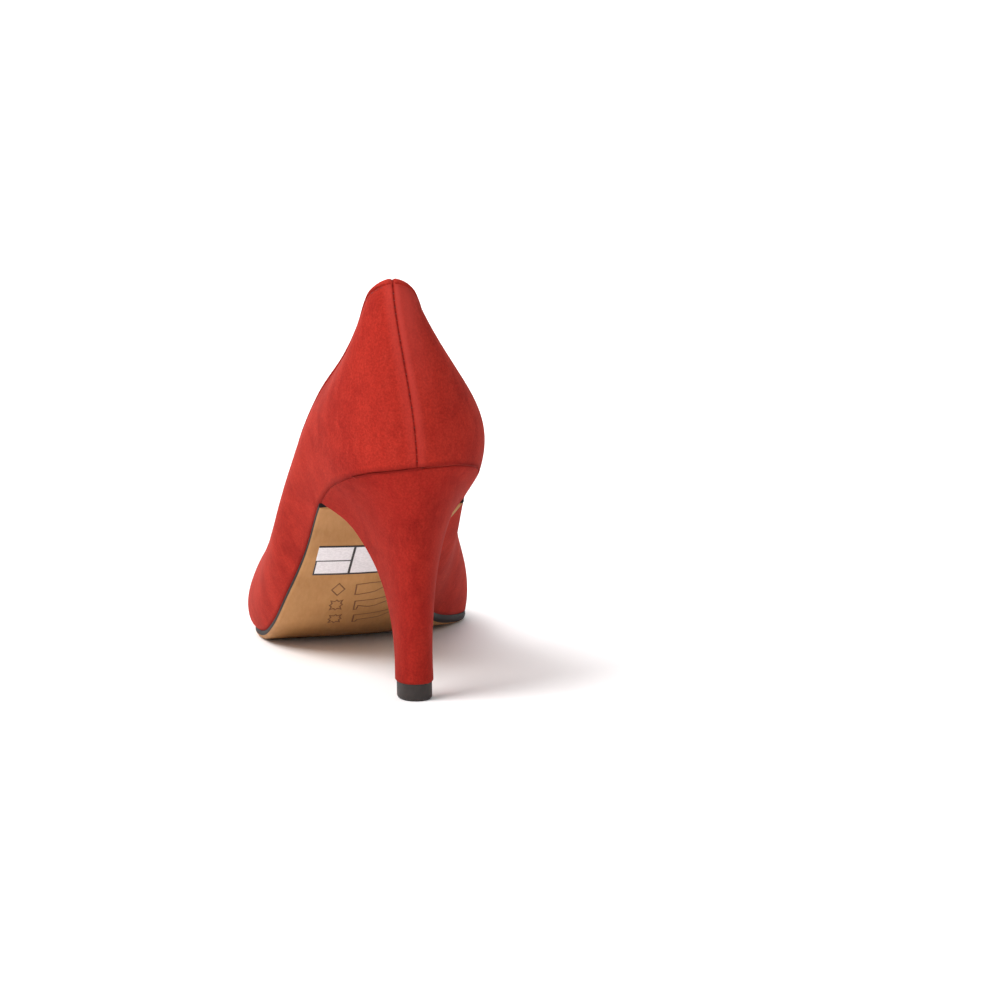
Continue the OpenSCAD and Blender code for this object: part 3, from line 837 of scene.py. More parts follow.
@dataclass
class Upper:
    """The suede shell, its sewn back seam, its bound top edge and the stitching under the binding."""

    per_half: int = 280
    crowding: float = 3.6
    edge_radius: float = 0.5
    margin_inner: float = 9.0
    seam_depth: float = 0.28
    seam_width: float = 0.22
    seam_pitch: float = 2.1
    seam_stitch: Triple = (0.45, 0.6, 0.24)
    pull_depth: float = 0.14
    pull_width: float = 0.55
    # The seam allowance is full up to the first distance from the seam and ends at the second
    allowance: tuple[float, float] = (2.1, 4.3)
    allowance_rise: float = 0.12
    unevenness: float = 0.12
    band_height: float = 1.1
    ditch_depth: float = 0.12
    ditch_width: float = 0.4
    top_pitch: float = 2.2
    top_stitch: Triple = (2.0, 0.3, 0.22)
    notch_width: float = 0.6
    notch_depth: float = 0.45
    suede: bpy.types.Material = dressed(GoatSuede("goat_suede_red", "#a0271d"))
    thread: bpy.types.Material = dressed(SpunThread("spun_polyester_thread_red", "#8a1d18", groove="#5c100e"))

    @property
    def ditch(self) -> float:
        """Gives the distance from the top edge down to the line that the stitches pull in."""
        return self.band_height + 0.35

    def _shares(self, angles: Array) -> Array:
        """Gives the rows of the wall, close together under the binding, as shares at every angle."""
        downs = np.array([5.6, 4.8, 4.2, 3.8, 3.5, 3.2, 3.0, 2.8, 2.6, 2.4, 2.1, 1.6, 0.8, 0.0])
        lowest = FORM.share_above_sole(angles, self.edge_radius)
        under_band = FORM.share_below_top(angles, downs[0])
        climb = np.linspace(0, 1, 42)[:-1, None]
        return np.concatenate([
            lowest + (under_band - lowest) * climb,
            FORM.share_below_top(angles[None], downs[:, None])])

    def _relief(self, points: Array, angles: Array) -> tuple[Array, dict[Mark, Array]]:
        """Works out how deep the surface lies at each point of the wall.

        Args:
            points: the smooth wall.
            angles: its columns.

        Returns:
            The depth in mm, and the masks for the painted shade in creases and for rubbed places.
        """
        run, off = off_seam(points)
        z = points[..., 2]
        down = 3 * FORM.high_pull.at(FORM.share(angles))[None] * (1 - self._shares(angles))
        beat = (0.5 + 0.5 * np.cos(2 * math.pi * z / self.seam_pitch)) ** 3
        groove = bell(off, self.seam_width)
        raised = step_down(off, *self.allowance)
        pulled_in = bell(down - self.ditch, self.ditch_width)
        depth = (
            self.seam_depth * groove
            + self.pull_depth * beat * bell(off, self.pull_width)
            - self.allowance_rise * raised
            - self.unevenness * hand_lasted(points) * (1 - 0.7 * raised)
            + self.ditch_depth * pulled_in
        )
        upper_part = ramp(z, 70, 130)
        # Painted shade in the seam's groove, at each stitch's pull and along the ditch under the binding
        crease_shade = clamp(groove * (0.6 + 0.25 * beat) + 0.25 * beat * bell(off, 0.45) + 0.1 * pulled_in)
        beside_seam = 1 - bell(off, 0.5)
        band = step_down(off, 0.9, self.allowance[1]) * beside_seam
        inner = run > run[:, -1:] / 2
        rubbed = band * np.where(inner, 0.25 + 0.6 * upper_part, 0.15 + 0.3 * upper_part)
        brushed = inner * step_down(off, 4, 12) * ramp(z, 95, 125) * 0.55
        return depth, {Mark.CREASE: crease_shade, Mark.RUBBED: np.maximum(rubbed, brushed * beside_seam)}

    def build_shell(self) -> None:
        """Builds the suede in one closed wall with its lower edge turned under the insole."""
        angles = round_angles(self.per_half, self.crowding)
        shares = self._shares(angles)
        grid = np.broadcast_to(angles, shares.shape)
        smooth = FORM.wall(grid, shares, 0.0)
        depth, marks = self._relief(smooth, angles)
        wall = smooth - depth[..., None] * FORM.normal(grid, shares)
        corner = FORM.inset(angles, 0.0, 0.0)
        under = FORM.inset(angles, self.edge_radius, 0.0)
        turns = [
            (1 - s) ** 2 * under + 2 * s * (1 - s) * corner + s**2 * wall[0] for s in (0.25, 0.5, 0.75)]
        margin = [FORM.inset(angles, m, 0.0) for m in np.linspace(self.margin_inner, self.edge_radius, 5)]
        points = np.concatenate([np.array(margin), np.array(turns), wall])
        hidden = len(margin) + len(turns)
        marks = {
            mark: np.concatenate([np.repeat(values[:1], hidden, 0), values]) for mark, values in marks.items()}
        climb = np.concatenate([np.zeros(hidden), np.arange(len(wall))])
        # Painted shade on the turn under the sole and along the wall's lowest row
        marks[Mark.CREASE] = np.maximum(marks[Mark.CREASE], 0.5 * step_down(climb, 0, 1)[:, None])
        mesh = lay_net("upper_suede_shell", points, marks, flip=True)
        finish_piece(mesh, [self.suede], ("suede_upper",), thickness=LAYERS.suede - SHY)

    def build_binding(self) -> None:
        """Builds the strip that is folded over the top edge, with the small notch at the back seam."""
        angles = round_angles(self.per_half, self.crowding)
        out, deep = -0.7 * LAYERS.binding, LAYERS.inside + LAYERS.binding
        middle, half = (out + deep) / 2, (deep - out) / 2
        turn = np.radians(np.linspace(0, 180, 15))
        low = -self.band_height
        outside = [(0.25, low), (-0.05, low + 0.06), (out + 0.05, low + 0.35), (out, low + 0.45)]
        over = [(middle - half * math.cos(t), -0.55 + 1.55 * math.sin(t) ** 0.8) for t in turn]
        inside = [(2 * middle - d, h) for d, h in reversed(outside)]
        profile = outside + over + inside + [(LAYERS.inside - 0.3, -1.0), (middle, -0.8), (0.3, -1.0)]
        profile.append(profile[0])
        depths, ups = np.array(profile).T
        _, off = off_seam(FORM.near_top(angles[None], depths[:, None], ups[:, None]))
        notch = bell(off, self.notch_width)
        shrink = 0.35 * notch
        depth = depths[:, None] + (middle - depths[:, None]) * shrink
        up = ups[:, None] - self.notch_depth * notch * (ups[:, None] > -0.6)
        points = FORM.near_top(np.broadcast_to(angles, depth.shape), depth, np.broadcast_to(up, depth.shape))
        low_edge = step_down(ups + self.band_height, 0.1, 0.6)[:, None]
        marks = {
            # Painted shade at the notch over the back seam and along the binding's lower edge
            Mark.CREASE: clamp(0.6 * bell(off, 0.35) + 0.3 * low_edge * np.ones_like(off)),
            Mark.RUBBED: 0.25 * step_down(np.abs(ups - 0.2), 0.2, 0.9)[:, None] * np.ones_like(off),
        }
        mesh = lay_net("topline_binding_strip", points, marks, flip=True)
        finish_piece(mesh, [self.suede], ("topline_binding",))

    def build_stitching(self) -> None:
        """Sews the row under the binding and the locked stitches in the back seam."""
        angles = np.linspace(0.4, 359.6, 700)
        share = FORM.share_below_top(angles, self.ditch)
        path = FORM.wall(angles, share, self.ditch_depth + 0.03)
        mesh = lay_stitches(
            "topline_thread", path, FORM.normal(angles, share), self.top_pitch, self.top_stitch)
        finish_piece(mesh, [self.thread], ("topline_stitching",))
        shares = np.linspace(0.02, FORM.share_below_top(np.array([0.0]), self.band_height)[0], 120)
        back = np.zeros_like(shares)
        seam = FORM.wall(back, shares, self.seam_depth - 0.08)
        mesh = lay_stitches(
            "back_seam_thread", seam, FORM.normal(back, shares), self.seam_pitch, self.seam_stitch)
        finish_piece(mesh, [self.thread])

    def build(self) -> None:
        """Builds the whole upper."""
        self.build_shell()
        self.build_binding()
        self.build_stitching()


# ---- Inside ----


@dataclass
class Inside:
    """The linings, the heel grip, the foam and the sock."""

    joint_angle: float = 77.14
    lap: float = 0.35
    # How far, in degrees, each lining runs on past the joint
    past_joint: float = 1.5
    joint_pitch: float = 2.6
    joint_stitch: Triple = (2.2, 0.45, 0.35)
    grip_angle: float = 45.0
    grip_low: float = 0.22
    grip_high: float = 0.945
    # The thickness of the pad at its rim, and how square its corners are
    grip_rim: float = 0.12
    grip_square: float = 4.0
    sock_room: float = 1.0
    lining: bpy.types.Material = dressed(GrainLeather("lining_calf_leather_tan", "#cfa67a", 0.5, deep="#b98c60"))
    sock: bpy.types.Material = dressed(GrainLeather("sock_sheep_leather_tan", "#c99f72", 0.45, deep="#ae8257"))
    # The grip's crease colour is painted shade round the pad's rim
    grip: bpy.types.Material = dressed(GoatSuede(
        "grip_pig_suede_tan", "#bd9468", stroked_dark="#a98058", stroked_pale="#cda57a", crease_shade="#7a5636",
        rubbed="#d8b48c", rim="#f0d8b8"))
    foam: bpy.types.Material = dressed(Speckled(
        "latex_foam_cream", "#e9dcae", 0.9, second="#b7a772", grain_mm=0.6, height=0.15))
    thread: bpy.types.Material = dressed(SpunThread("spun_polyester_thread_tan", "#d9b78c", groove="#8a6238"))

    def _lining(self, name: str, angles: Array, lap: Array, node: str) -> None:
        """Builds one lining: its wall and the margin under the insole."""
        shares = np.linspace(0.0, 1.0, 44)[1:, None] * np.ones_like(angles)
        grid = np.broadcast_to(angles, shares.shape)
        face = LAYERS.inside + lap
        wall = FORM.wall(grid, shares, np.broadcast_to(face, shares.shape))
        low = [FORM.inset(angles, face + m, LAYERS.margin_top) for m in (5.0, 2.0, 0.0)]
        points = np.concatenate([np.array(low), wall])
        mesh = lay_net(name, points)
        finish_piece(mesh, [self.lining], (node,), thickness=LAYERS.lining - SHY)

    def build_linings(self) -> None:
        """Builds the lining of the front, lapped over the lining of the sides and back, and its seams."""
        joint, past = self.joint_angle, self.past_joint
        quarter = np.linspace(-joint - past, joint + past, 150)
        self._lining("quarter_lining_leather", quarter, np.zeros_like(quarter), "quarter_lining")
        vamp = np.linspace(joint - past, 360 - joint + past, 200)
        ends = np.minimum(vamp - vamp[0], vamp[-1] - vamp)
        self._lining("vamp_lining_leather", vamp, 0.1 + self.lap * step_down(ends, 2.5, 5.0), "vamp_lining")
        shares = np.linspace(0.14, 0.93, 60)
        for side, angle in (("outer", joint - 0.5), ("inner", 360.5 - joint)):
            column = np.full_like(shares, angle)
            path = FORM.wall(column, shares, LAYERS.inside + self.lap + 0.14)
            inward = -FORM.normal(column, shares)
            mesh = lay_stitches(f"lining_seam_thread_{side}", path, inward, self.joint_pitch, self.joint_stitch)
            finish_piece(mesh, [self.thread])

    def build_grip(self) -> None:
        """Builds the brushed pad inside the heel, thinned to nothing round its edge."""
        across = np.linspace(-1, 1, 121)
        rows = np.linspace(-1, 1, 61)
        bulge = 1 - 0.09 * np.abs(rows[:, None]) ** self.grip_square
        angles = self.grip_angle * across[None] * bulge
        rounded = 0.03 * np.abs(across[None]) ** self.grip_square
        top = self.grip_high - rounded
        low = self.grip_low + rounded
        shares = low + (top - low) * (rows[:, None] + 1) / 2
        rim = np.maximum(np.abs(across[None]), np.abs(rows[:, None]))
        fullness = step_down(rim, 0.93, 1.0) * np.ones_like(angles)
        depth = LAYERS.inside + self.grip_rim + (LAYERS.grip - self.grip_rim) * fullness
        # Painted shade round the pad's thinned rim, where it meets the lining
        mesh = lay_net("heel_grip_pad", FORM.wall(angles, shares, depth), {
            Mark.CREASE: 0.5 * (1 - fullness),
            Mark.RUBBED: 0.3 * bell(across[None] * np.ones_like(angles), 0.4)})
        pad = finish_piece(mesh, [self.grip], ("heel_grip",), thickness=0.1)

    def _floor(self, name: str, level: float, thick: float, crown: float) -> bpy.types.Mesh:
        """Builds a sheet that covers the floor of the shoe.

        Args:
            name: the mesh's name.
            level: the height of its underside over the underside of the upper.
            thick: its thickness.
            crown: how much its edge is rounded off, in mm.

        Returns:
            A closed mesh.
        """
        angles = np.linspace(0, 180, 150)
        room = LAYERS.inside + self.sock_room
        across = np.sin(np.radians(np.linspace(-90, 90, 31)))
        rings = []
        for spot, up in [(s, level + thick) for s in across] + [(s, level) for s in across[::-4]]:
            plan = FORM.between(angles, room, (spot + 1) / 2)
            edge = crown * abs(spot) ** 12 if up > level else 0.0
            rings.append(FORM.on_bottom(plan, up - edge))
        rings.append(rings[0])
        return lay_net(name, np.stack(rings, 1), closed=True)

    def build_floor(self) -> None:
        """Builds the foam and the sock over it."""
        mesh = self._floor("sock_foam_sheet", LAYERS.foam_level, LAYERS.foam, 0.3)
        foam = finish_piece(mesh, [self.foam], ("sock_foam",))
        mesh = self._floor("sock_leather_sheet", LAYERS.sock_level, LAYERS.sock, 0.35)
        finish_piece(mesh, [self.sock], ("sock_lining",))

    def build(self) -> None:
        """Builds everything inside the upper."""
        self.build_linings()
        self.build_grip()
        self.build_floor()


# ---- Sole ----


@dataclass(frozen=True)
class Stamp:
    """A closed outline that is pressed into the sole: its middle and its corners, in mm."""

    name: str
    middle: tuple[float, float]
    corners: tuple[tuple[float, float], ...]


@dataclass
class SoleUnit:
    """The outsole with its inked edge, the outlines stamped in its waist and the paper label."""

    start_y: float = 49.2
    ball_t: float = 3.0
    waist_t: float = 2.0
    ball_rise: tuple[float, float] = (105.0, 145.0)
    round_share: float = 0.6
    ink_waist: float = 0.75
    ink_ball: float = 0.55
    # The inner edge is inked nearly all the way down: the edge ink there, and partly painted shade along the
    # inner waist
    ink_and_shade_inner: float = 0.9
    line: float = 0.5
    line_t: float = 0.06
    # How far a line or the label stands off the face of the sole, so that it shows
    stand_off: float = 0.03
    label_long: float = 28.0
    label_wide: float = 16.0
    label_turn: float = 3.0
    label_corner: tuple[float, float] = (-24.2, 71.0)
    label_t: float = 0.15
    leather: bpy.types.Material = dressed(SoleLeather("waxed_sole_leather_tan", "#b98958"))
    stamped: bpy.types.Material = dressed(Speckled(
        "burnt_sole_leather_brown", "#7c5229", 0.6, second="#6c4421", grain_mm=0.8))
    paper: bpy.types.Material = dressed(Speckled(
        "coated_label_paper_white", "#ece8ea", 0.55, second="#dcd8da", grain_mm=0.9, height=0.01))
    ink: bpy.types.Material = dressed(Speckled(
        "printing_ink_black", "#1c191a", 0.5, second="#2a2526", grain_mm=0.7, height=0.01))

    def _to_ball(self, xy: Array, waist: float, ball: float) -> Array:
        """Goes from the value at the waist to the value at the ball over places on the floor plan."""
        return waist + (ball - waist) * ramp(xy[..., 1], *self.ball_rise)

    def thickness(self, xy: Array) -> Array:
        """Gives the thickness of the outsole over places on the floor plan."""
        return self._to_ball(xy, self.waist_t, self.ball_t)

    def inked(self, xy: Array) -> Array:
        """Gives the share of the edge's thickness that is inked, least at the outer ball; on the inner side the
        ink partly stands for painted shade.
        """
        return np.where(xy[..., 0] > 0, self.ink_and_shade_inner, self._to_ball(xy, self.ink_waist, self.ink_ball))

    def under(self, xy: Array, drop: Array | float) -> Array:
        """Gives the points at a drop below the face of the outsole."""
        return FORM.on_bottom(xy, -self.thickness(np.asarray(xy, float)) - drop)

    def build_outsole(self) -> None:
        """Builds the outsole as a closed loop of points at each station from the breast to the toe."""
        angles = np.linspace(FORM.angle_at(self.start_y), 180, 130)
        bends = np.radians([0, 15, 30, 45, 60, 75, 90])
        loop, ink = [], []

        def add_edge(side_angles: Array, bend: float) -> None:
            """Adds a line of points on the rounded edge, from the face (0) to the upright side (90)."""
            thick = self.thickness(FORM.inset(side_angles, 0.0, 0.0))
            radius = self.round_share * thick
            plan = FORM.inset(side_angles, radius * (1 - math.sin(bend)), 0.0)
            rise = radius * (1 - math.cos(bend))
            loop.append(FORM.on_bottom(plan, rise - thick))
            ink.append(0.5 + rise - (1 - self.inked(plan)) * thick)

        def add_top(side_angles: Array) -> None:
            """Adds the line where the upright side meets the upper."""
            loop.append(FORM.inset(side_angles, 0.1, -LAYERS.film))
            ink.append(np.ones(len(angles)))

        for bend in bends:
            add_edge(angles, bend)
        add_top(angles)
        for share in (0.02, 0.5, 0.98):
            loop.append(FORM.on_bottom(FORM.between(angles, 3.0, share), -LAYERS.film))
            ink.append(np.ones(len(angles)))
        add_top(360 - angles)
        for bend in reversed(bends):
            add_edge(360 - angles, bend)
        radius = self.round_share * self.thickness(FORM.inset(angles, 0.0, 0.0))
        for share in np.linspace(0.97, 0.03, 33):
            loop.append(self.under(FORM.between(angles, radius, share), 0.0))
            ink.append(np.full(len(angles), -0.5))
        loop.append(loop[0])
        ink.append(ink[0])
        mesh = lay_net("outsole_leather", np.stack(loop, 1), {Mark.PAINT: np.stack(ink, 1)}, closed=True)
        finish_piece(mesh, [self.leather], ("outsole",))

    def _stamps(self) -> list[Stamp]:
        """Gives the plain outlines: a square on its corner, two hides and three shoe shapes."""
        square = ((-2.5, 0), (0, 4.1), (2.5, 0), (0, -4.1))
        hide_turns = np.radians(np.arange(0, 360, 22.5))
        hide_reach = (0.88, 0.66, 1.14, 0.68)
        hide = tuple(
            (2.8 * hide_reach[i % 4] * math.cos(t), 4.2 * hide_reach[i % 4] * math.sin(t))
            for i, t in enumerate(hide_turns))
        shoes = (
            ((0, -3.2), (0, 3.4), (1.6, 3.6), (7.0, 2.8), (9.5, 0.9), (14, 0.4), (14, -3.0), (5, -3.6)),
            ((0, -2.6), (0, 3.6), (1.4, 3.6), (1.8, 1.2), (5.0, 2.6), (7.5, 2.4), (14, -0.6), (14, -3.4),
             (7, -2.4)),
            ((0, -2.8), (0, 3.2), (1.4, 3.4), (2.0, 1.8), (9, 1.8), (14, -0.8), (14, -3.0), (6, -2.6)),
        )
        rows = (96.5, 106.5, 116.5)
        found = [
            Stamp("square", (-15.4, rows[0]), square),
            Stamp("hide_upper", (-15.1, rows[1]), hide),
            Stamp("hide_lower", (-14.5, rows[2]), hide),
        ]
        found += [Stamp(f"shoe_{i + 1}", (-9.6 + 0.6 * i, rows[i] + 0.8), shoes[i]) for i in range(3)]
        return found

    def build_stamps(self) -> None:
        """Builds each outline as a thin line pressed in the face of the sole."""
        for stamp in self._stamps():
            drawn = bmesh.new()
            corners = [drawn.verts.new((x, y, 0)) for x, y in stamp.corners]
            drawn.faces.new(corners)
            bmesh.ops.recalc_face_normals(drawn, faces=drawn.faces)
            middle = drawn.faces[:]
            bmesh.ops.inset_region(
                drawn, faces=middle, thickness=self.line, use_boundary=True, use_even_offset=True)
            bmesh.ops.delete(drawn, geom=middle, context="FACES")
            bmesh.ops.subdivide_edges(drawn, edges=drawn.edges[:], cuts=2, use_grid_fill=True)
            for vert in drawn.verts:
                xy = np.array([stamp.middle[0] + vert.co.x, stamp.middle[1] + vert.co.y])
                vert.co = Vector((self.under(xy, self.stand_off) - MIDDLE) * MM)
            drawn.normal_update()
            bmesh.ops.reverse_faces(drawn, faces=[f for f in drawn.faces if f.normal.z > 0])
            mesh = as_mesh(f"stamped_{stamp.name}", drawn)
            finish_piece(mesh, [self.stamped], thickness=self.line_t)

    def build_label(self) -> None:
        """Builds the label: paper with a ruled border, one upright line and one cross line, left blank."""
        turn = math.radians(self.label_turn)
        divider, cross = 11.6, 8.0
        us = [0, 0.45, 3, 6, 9, divider, divider + 0.8, 15, 18, 21, 24, 27.5, self.label_long]
        vs = [0, 0.8, 3, 5.5, cross, cross + 0.6, 10, 12.5, 15.1, self.label_wide]
        u, v = np.meshgrid(us, vs)
        plan = np.stack([
            self.label_corner[0] + u * math.cos(turn) - v * math.sin(turn),
            self.label_corner[1] + u * math.sin(turn) + v * math.cos(turn)], -1)
        mesh = lay_net("size_label_blank", self.under(plan, self.label_t + self.stand_off))
        columns = len(us) - 1
        for face in mesh.polygons:
            row, column = divmod(face.index, columns)
            left, top = us[column], vs[row]
            ruled = (
                left == divider
                or row in (0, len(vs) - 2)
                or column == columns - 1
                or (column == 0 and top >= cross)
                or (top == cross and left < divider)
            )
            face.material_index = int(ruled)
        if mesh.polygons[0].normal.z > 0:
            mesh.flip_normals()
        finish_piece(mesh, [self.paper, self.ink], ("size_label",), thickness=self.label_t)

    def build(self) -> None:
        """Builds the sole and what is on it."""
        self.build_outsole()
        self.build_stamps()
        self.build_label()


# ---- Heel ----


@dataclass
class HeelUnit:
    """The suede glued round the heel block and the rubber top piece under it."""

    breast_y: float = 46.0
    foot_w: float = 12.0
    foot_d: float = 11.0
    foot_back: float = 16.0
    foot_round: float = 0.75
    # The top piece is this much smaller than the foot all round, and its lower edge is worn this round
    top_piece_room: float = 0.5
    top_piece_worn: float = 0.9
    top_piece_t: float = 5.5
    breast_sag: float = 0.06
    cover_t: float = 0.8
    levels: int = 84
    points_round: int = 176
    narrow: Curve = Curve(
        ((0, 0), (0.1, 0.36), (0.2, 0.565), (0.35, 0.765), (0.5, 0.89), (0.7, 0.975), (0.85, 1), (1, 1)))
    back_line: Curve = Curve(((0, 0), (0.25, 0.35), (0.5, 0.68), (0.75, 0.9), (1, 1)))
    breast_line: Curve = Curve(((0, 0), (0.1, 0.2), (0.2, 0.38), (0.35, 0.6), (0.5, 0.78), (0.7, 0.92), (1, 1)))
    suede: bpy.types.Material = dressed(GoatSuede(
        "goat_suede_red_heel", "#96211a", stroked_dark="#881c16", stroked_pale="#a0291f"))
    rubber: bpy.types.Material = dressed(Speckled(
        "moulded_polyurethane_dark", "#2c2320", 0.65, second="#241c19", grain_mm=1.6, height=0.03))

    def ring(self, down: float) -> Array:
        """Gives the outline of the heel.

        Args:
            down: the share of the way down from the seat to the foot.

        Returns:
            Evenly spaced points from the inner corner round the back and along the breast.
        """
        turn = np.linspace(-1, 1, 241)
        start = FORM.inset(turn * FORM.angle_at(FORM.back_y + self.breast_y), 0.0, 0.0)
        bend = np.radians(90 * turn)
        front = self.foot_back + self.foot_d
        forward = ramp(start[:, 1], FORM.back_y, FORM.back_y + self.breast_y)
        settle = self.back_line.at(down) * (1 - forward) + self.breast_line.at(down) * forward
        x = -np.sin(bend) * self.foot_w / 2
        y = front - self.foot_d * np.clip(np.cos(bend), 0, 1) ** self.foot_round
        arc = np.stack([
            start[:, 0] + (x - start[:, 0]) * self.narrow.at(down),
            start[:, 1] + (y - start[:, 1]) * settle,
            start[:, 2] + (self.top_piece_t - start[:, 2]) * down], -1)
        outer, inner = arc[-1], arc[0]
        sag = np.linalg.norm(outer - inner) * self.breast_sag * clamp(6 * down)
        way = np.linspace(0, 1, 62)[1:, None]
        breast = outer + (inner - outer) * way
        breast[:, 1] -= sag * np.sin(math.pi * way[:, 0])
        whole = np.concatenate([arc, breast])
        run = run_along(whole[None])[0]
        even = np.linspace(0, run[-1], self.points_round + 1)[:-1]
        spaced = read_path(whole, run, even)
        weights = {-2: 1, -1: 2, 0: 3, 1: 2, 2: 1}
        return sum(w * np.roll(spaced, k, axis=0) for k, w in weights.items()) / sum(weights.values())

    def _moved_in(self, ring: Array, depth: float) -> Array:
        """Moves an outline in by a depth."""
        ahead, behind = np.roll(ring, -1, axis=0), np.roll(ring, 1, axis=0)
        way = unit((ahead - behind)[:, :2])
        moved = ring.copy()
        moved[:, 0] += depth * way[:, 1]
        moved[:, 1] -= depth * way[:, 0]
        return moved

    def build_cover(self) -> None:
        """Builds the suede of the heel, rounded in at the seat and at the foot."""
        seat, foot = [0, 0.0015, 0.004, 0.008, 0.013], [0.996, 1.0]
        downs = np.concatenate([seat, 0.02 + 0.972 * np.linspace(0, 1, self.levels) ** 1.25, foot])
        rings, crease_shade = [], []
        for down in downs:
            lip = 0.5 * step_down(down, 0.0, 0.0105) + 0.3 * (1 - step_down(down, 0.992, 1.0))
            ring = self._moved_in(self.ring(float(down)), float(lip))
            if down == 0:
                ring = FORM.on_bottom(ring, -LAYERS.film)
            rings.append(np.concatenate([ring, ring[:1]]))
            # Painted shade where the cover meets the upper at the seat and the top piece at the foot
            shade = 0.55 * step_down(down, 0.001, 0.011) + 0.3 * (1 - step_down(down, 0.99, 1.0))
            crease_shade.append(float(shade))
        points = np.array(rings)
        tone = np.array(crease_shade)[:, None] * np.ones(points.shape[:2])
        wave = 0.08 * hand_lasted(points * 1.3)
        way = unit(points[..., :2] - points[..., :2].mean(axis=1, keepdims=True))
        points[1:-1, :, :2] += (wave[..., None] * way)[1:-1]
        mesh = lay_net("heel_cover_suede", points, {Mark.CREASE: tone})
        finish_piece(mesh, [self.suede], ("heel_cover",), thickness=self.cover_t - SHY)

    def build_top_piece(self) -> None:
        """Builds the top piece: a block with the outline of the foot, its lower edge worn round."""
        room = self.top_piece_room
        half, deep = self.foot_w / 2 - room, self.foot_d - 2 * room
        front = self.foot_back + self.foot_d - room
        block = bmesh.new()
        bmesh.ops.create_circle(block, cap_ends=True, segments=72, radius=1)
        for vert in block.verts:
            bend = math.atan2(vert.co.x, -vert.co.y)
            if abs(bend) <= math.pi / 2:
                x, y = math.sin(bend) * half, front - deep * max(math.cos(bend), 0) ** self.foot_round
            else:
                x, y = half * math.copysign(2 - 2 * abs(bend) / math.pi, bend), front
            vert.co = (Vector((x, y, 0)) - Vector(MIDDLE)) * MM
        bmesh.ops.remove_doubles(block, verts=block.verts, dist=WELD)
        raised = bmesh.ops.extrude_face_region(block, geom=block.faces[:])
        top = [v for v in raised["geom"] if isinstance(v, bmesh.types.BMVert)]
        bmesh.ops.translate(block, verts=top, vec=(0, 0, self.top_piece_t * MM))
        bmesh.ops.recalc_face_normals(block, faces=block.faces)
        low = [e for e in block.edges if all(v.co.z < WELD for v in e.verts) and len(e.link_faces) == 2]
        bmesh.ops.bevel(
            block, geom=low, offset=self.top_piece_worn * MM, segments=4, profile=0.5, affect="EDGES",
            material=-1)
        mesh = as_mesh("top_piece_block", block)
        finish_piece(mesh, [self.rubber], ("top_piece",), sharp_over=35)

    def build(self) -> None:
        """Builds the heel's visible pieces."""
        self.build_cover()
        self.build_top_piece()


# ---- Pieces inside, kept from the model ----


@dataclass
class HiddenParts:
    """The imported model's own pieces that stay: stiffeners, boards, shank, block and fastenings."""

    finishes: dict[str, Finish] = field(default_factory=lambda: {
        "topline_tape": WovenCotton("woven_cotton_tape_white", "#ece8dc", thread_mm=0.7),
        "toe_puff": Speckled("impregnated_felt_beige", "#d8c9a4", 0.85, second="#b7a67e", grain_mm=0.9),
        "heel_counter": Speckled("bonded_leather_fibre_tan", "#b98f63", 0.85, second="#8a6540", grain_mm=1.2),
        "back_stay": WovenCotton("woven_cotton_stay_ivory", "#e8dfc8", thread_mm=0.6),
        "interlining_lateral": WovenCotton("cotton_drill_outer", "#e3dac6", thread_mm=0.9),
        "interlining_medial": WovenCotton("cotton_drill_inner", "#ddd3bd", thread_mm=0.9),
        "insole_forepart": Speckled("cellulose_board_brown", "#9a6d43", 0.9, second="#7a5230", grain_mm=1.5),
        "insole_backpart": Speckled("hard_fibre_board_brown", "#8a5c38", 0.85, second="#6b4427", grain_mm=1.8,
                                    stretch=(1.0, 0.3, 1.0)),
        "steel_shank": DrawnSteel("spring_steel_blued", "#6f7f92", 0.35, dull="#56616f"),
        "shank_rivets": DrawnSteel("rivet_steel_plated", "#c4c6c8", 0.28),
        "bottom_filler": Speckled("granulated_cork_brown", "#a87b4c", 0.92, second="#6e4a28", grain_mm=2.4,
                                  sharpness=0.08, height=0.2),
        "heel_block": Speckled("moulded_abs_grey", "#5f6266", 0.45, second="#585b5f", grain_mm=3.0, height=0.02),
        "heel_tube": DrawnSteel("tube_steel_drawn", "#b9bcc0", 0.3),
        "top_piece_pin": DrawnSteel("pin_steel_turned", "#aeb0b4", 0.34),
        "heel_screw": DrawnSteel("screw_steel_zinc_yellow", "#c9a95a", 0.3, dull="#a5873c"),
        "heel_nails": DrawnSteel("nail_steel_ringed", "#a9abaf", 0.36),
    })

    def build(self) -> None:
        """Gives each kept node its material."""
        for node, finish in self.finishes.items():
            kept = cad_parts[node]
            kept.data.materials.clear()
            kept.data.materials.append(finish.material())
            LOG.info("%s: kept, dressed in %s", node, finish.name)


# ---- Studio ----


@dataclass(frozen=True)
class SoftBox:
    """A soft light: where it stands and what it is aimed at, its size and its power in watts."""

    name: str
    stands: tuple[float, float, float]
    aim: tuple[float, float, float]
    size: float
    power: float


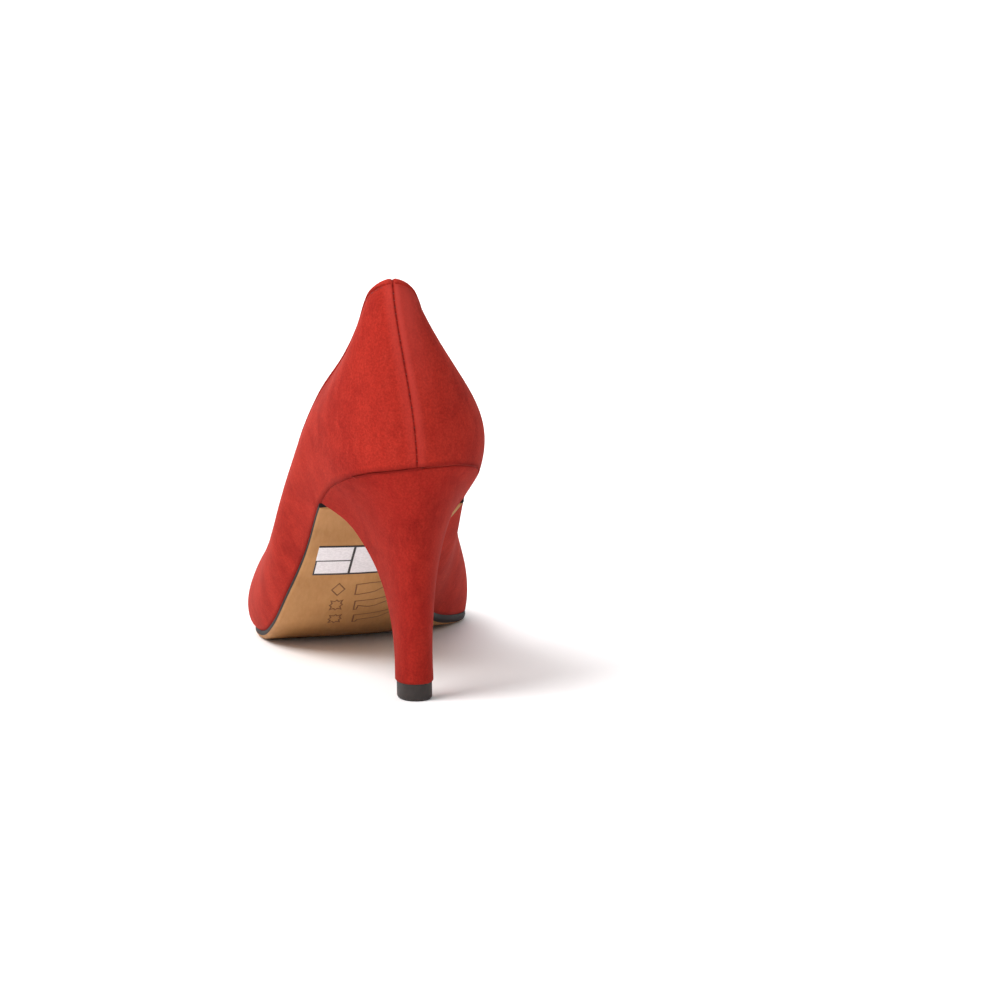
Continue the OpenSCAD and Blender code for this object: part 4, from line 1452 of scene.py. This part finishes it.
@dataclass
class Studio:
    """The pale sweep that the shoe stands on, the light and the camera."""

    camera_at: tuple[float, float, float] = (-173.06, -1363.86, 235.0)
    heading: float = 9.0
    pitch: float = 7.634
    roll: float = 0.8
    lens: float = 147.85
    sensor: float = 36.0
    sky: float = 0.4
    boxes: tuple[SoftBox, ...] = (
        SoftBox("key_softbox", (-1.35, -0.6, 2.0), (0.0, 0.0, 0.05), 1.5, 58.0),
        SoftBox("front_softbox", (-0.2, -2.0, 0.9), (0.0, 0.0, 0.06), 1.2, 5.0),
        SoftBox("backdrop_softbox", (0.0, 1.5, 2.4), (0.0, 2.8, 0.8), 2.0, 70.0),
    )

    def build_sweep(self) -> None:
        """Builds the floor that curves up behind the shoe, in matt white paper."""
        near, far, bend, high, half = -2.6, 1.6, 1.2, 2.6, 4.0
        turns = np.radians(np.linspace(0, 90, 17))
        rise = [(far + bend * math.sin(t), bend * (1 - math.cos(t))) for t in turns]
        line = [(near, 0.0), *rise, (far + bend, high)]
        points = np.array([[(x, y, z) for y, z in line] for x in (-half, 0.0, half)]) / MM + MIDDLE
        mesh = lay_net("studio_sweep", points, flip=True)
        sweep = put_in_scene(mesh.name, mesh)
        mesh.shade_smooth()
        paper = Speckled(
            "matt_paper_white", "#fbfafa", 0.95, second="#faf9f9", grain_mm=400, specular=0.1, height=0.0)
        mesh.materials.append(paper.material())

    def build_light(self) -> None:
        """Lights the room evenly and adds the soft boxes."""
        world = bpy.data.worlds.new("studio")
        world.use_nodes = True
        bpy.context.scene.world = world
        sky = world.node_tree.nodes["Background"]
        sky.inputs["Color"].default_value = linear("#ffffff")
        sky.inputs["Strength"].default_value = self.sky
        for box in self.boxes:
            lamp = bpy.data.lights.new(box.name, "AREA")
            lamp.size = box.size
            lamp.energy = box.power
            stand = put_in_scene(box.name, lamp)
            stand.location = box.stands
            stand.rotation_euler = (Vector(box.aim) - Vector(box.stands)).to_track_quat("-Z", "Y").to_euler()

    def build_camera(self) -> None:
        """Places the camera behind the shoe, a little to its outer side and above it."""
        lens = bpy.data.cameras.new("camera")
        lens.lens = self.lens
        lens.sensor_width = self.sensor
        lens.clip_end = 100.0
        camera = put_in_scene("camera", lens)
        turn = (
            Matrix.Rotation(math.radians(-self.heading), 4, "Z")
            @ Matrix.Rotation(math.radians(90 - self.pitch), 4, "X")
            @ Matrix.Rotation(math.radians(-self.roll), 4, "Z")
        )
        camera.matrix_world = Matrix.Translation(Vector(self.camera_at) * MM) @ turn
        bpy.context.scene.camera = camera
        bpy.context.scene.view_settings.view_transform = "Standard"

    def build(self) -> None:
        """Builds the studio."""
        self.build_sweep()
        self.build_light()
        self.build_camera()


def main() -> None:
    logging.basicConfig(level=logging.INFO, format="%(name)s: %(message)s")
    for part in (Studio(), Upper(), Inside(), SoleUnit(), HeelUnit(), HiddenParts()):
        part.build()


if __name__ == "__main__":
    main()
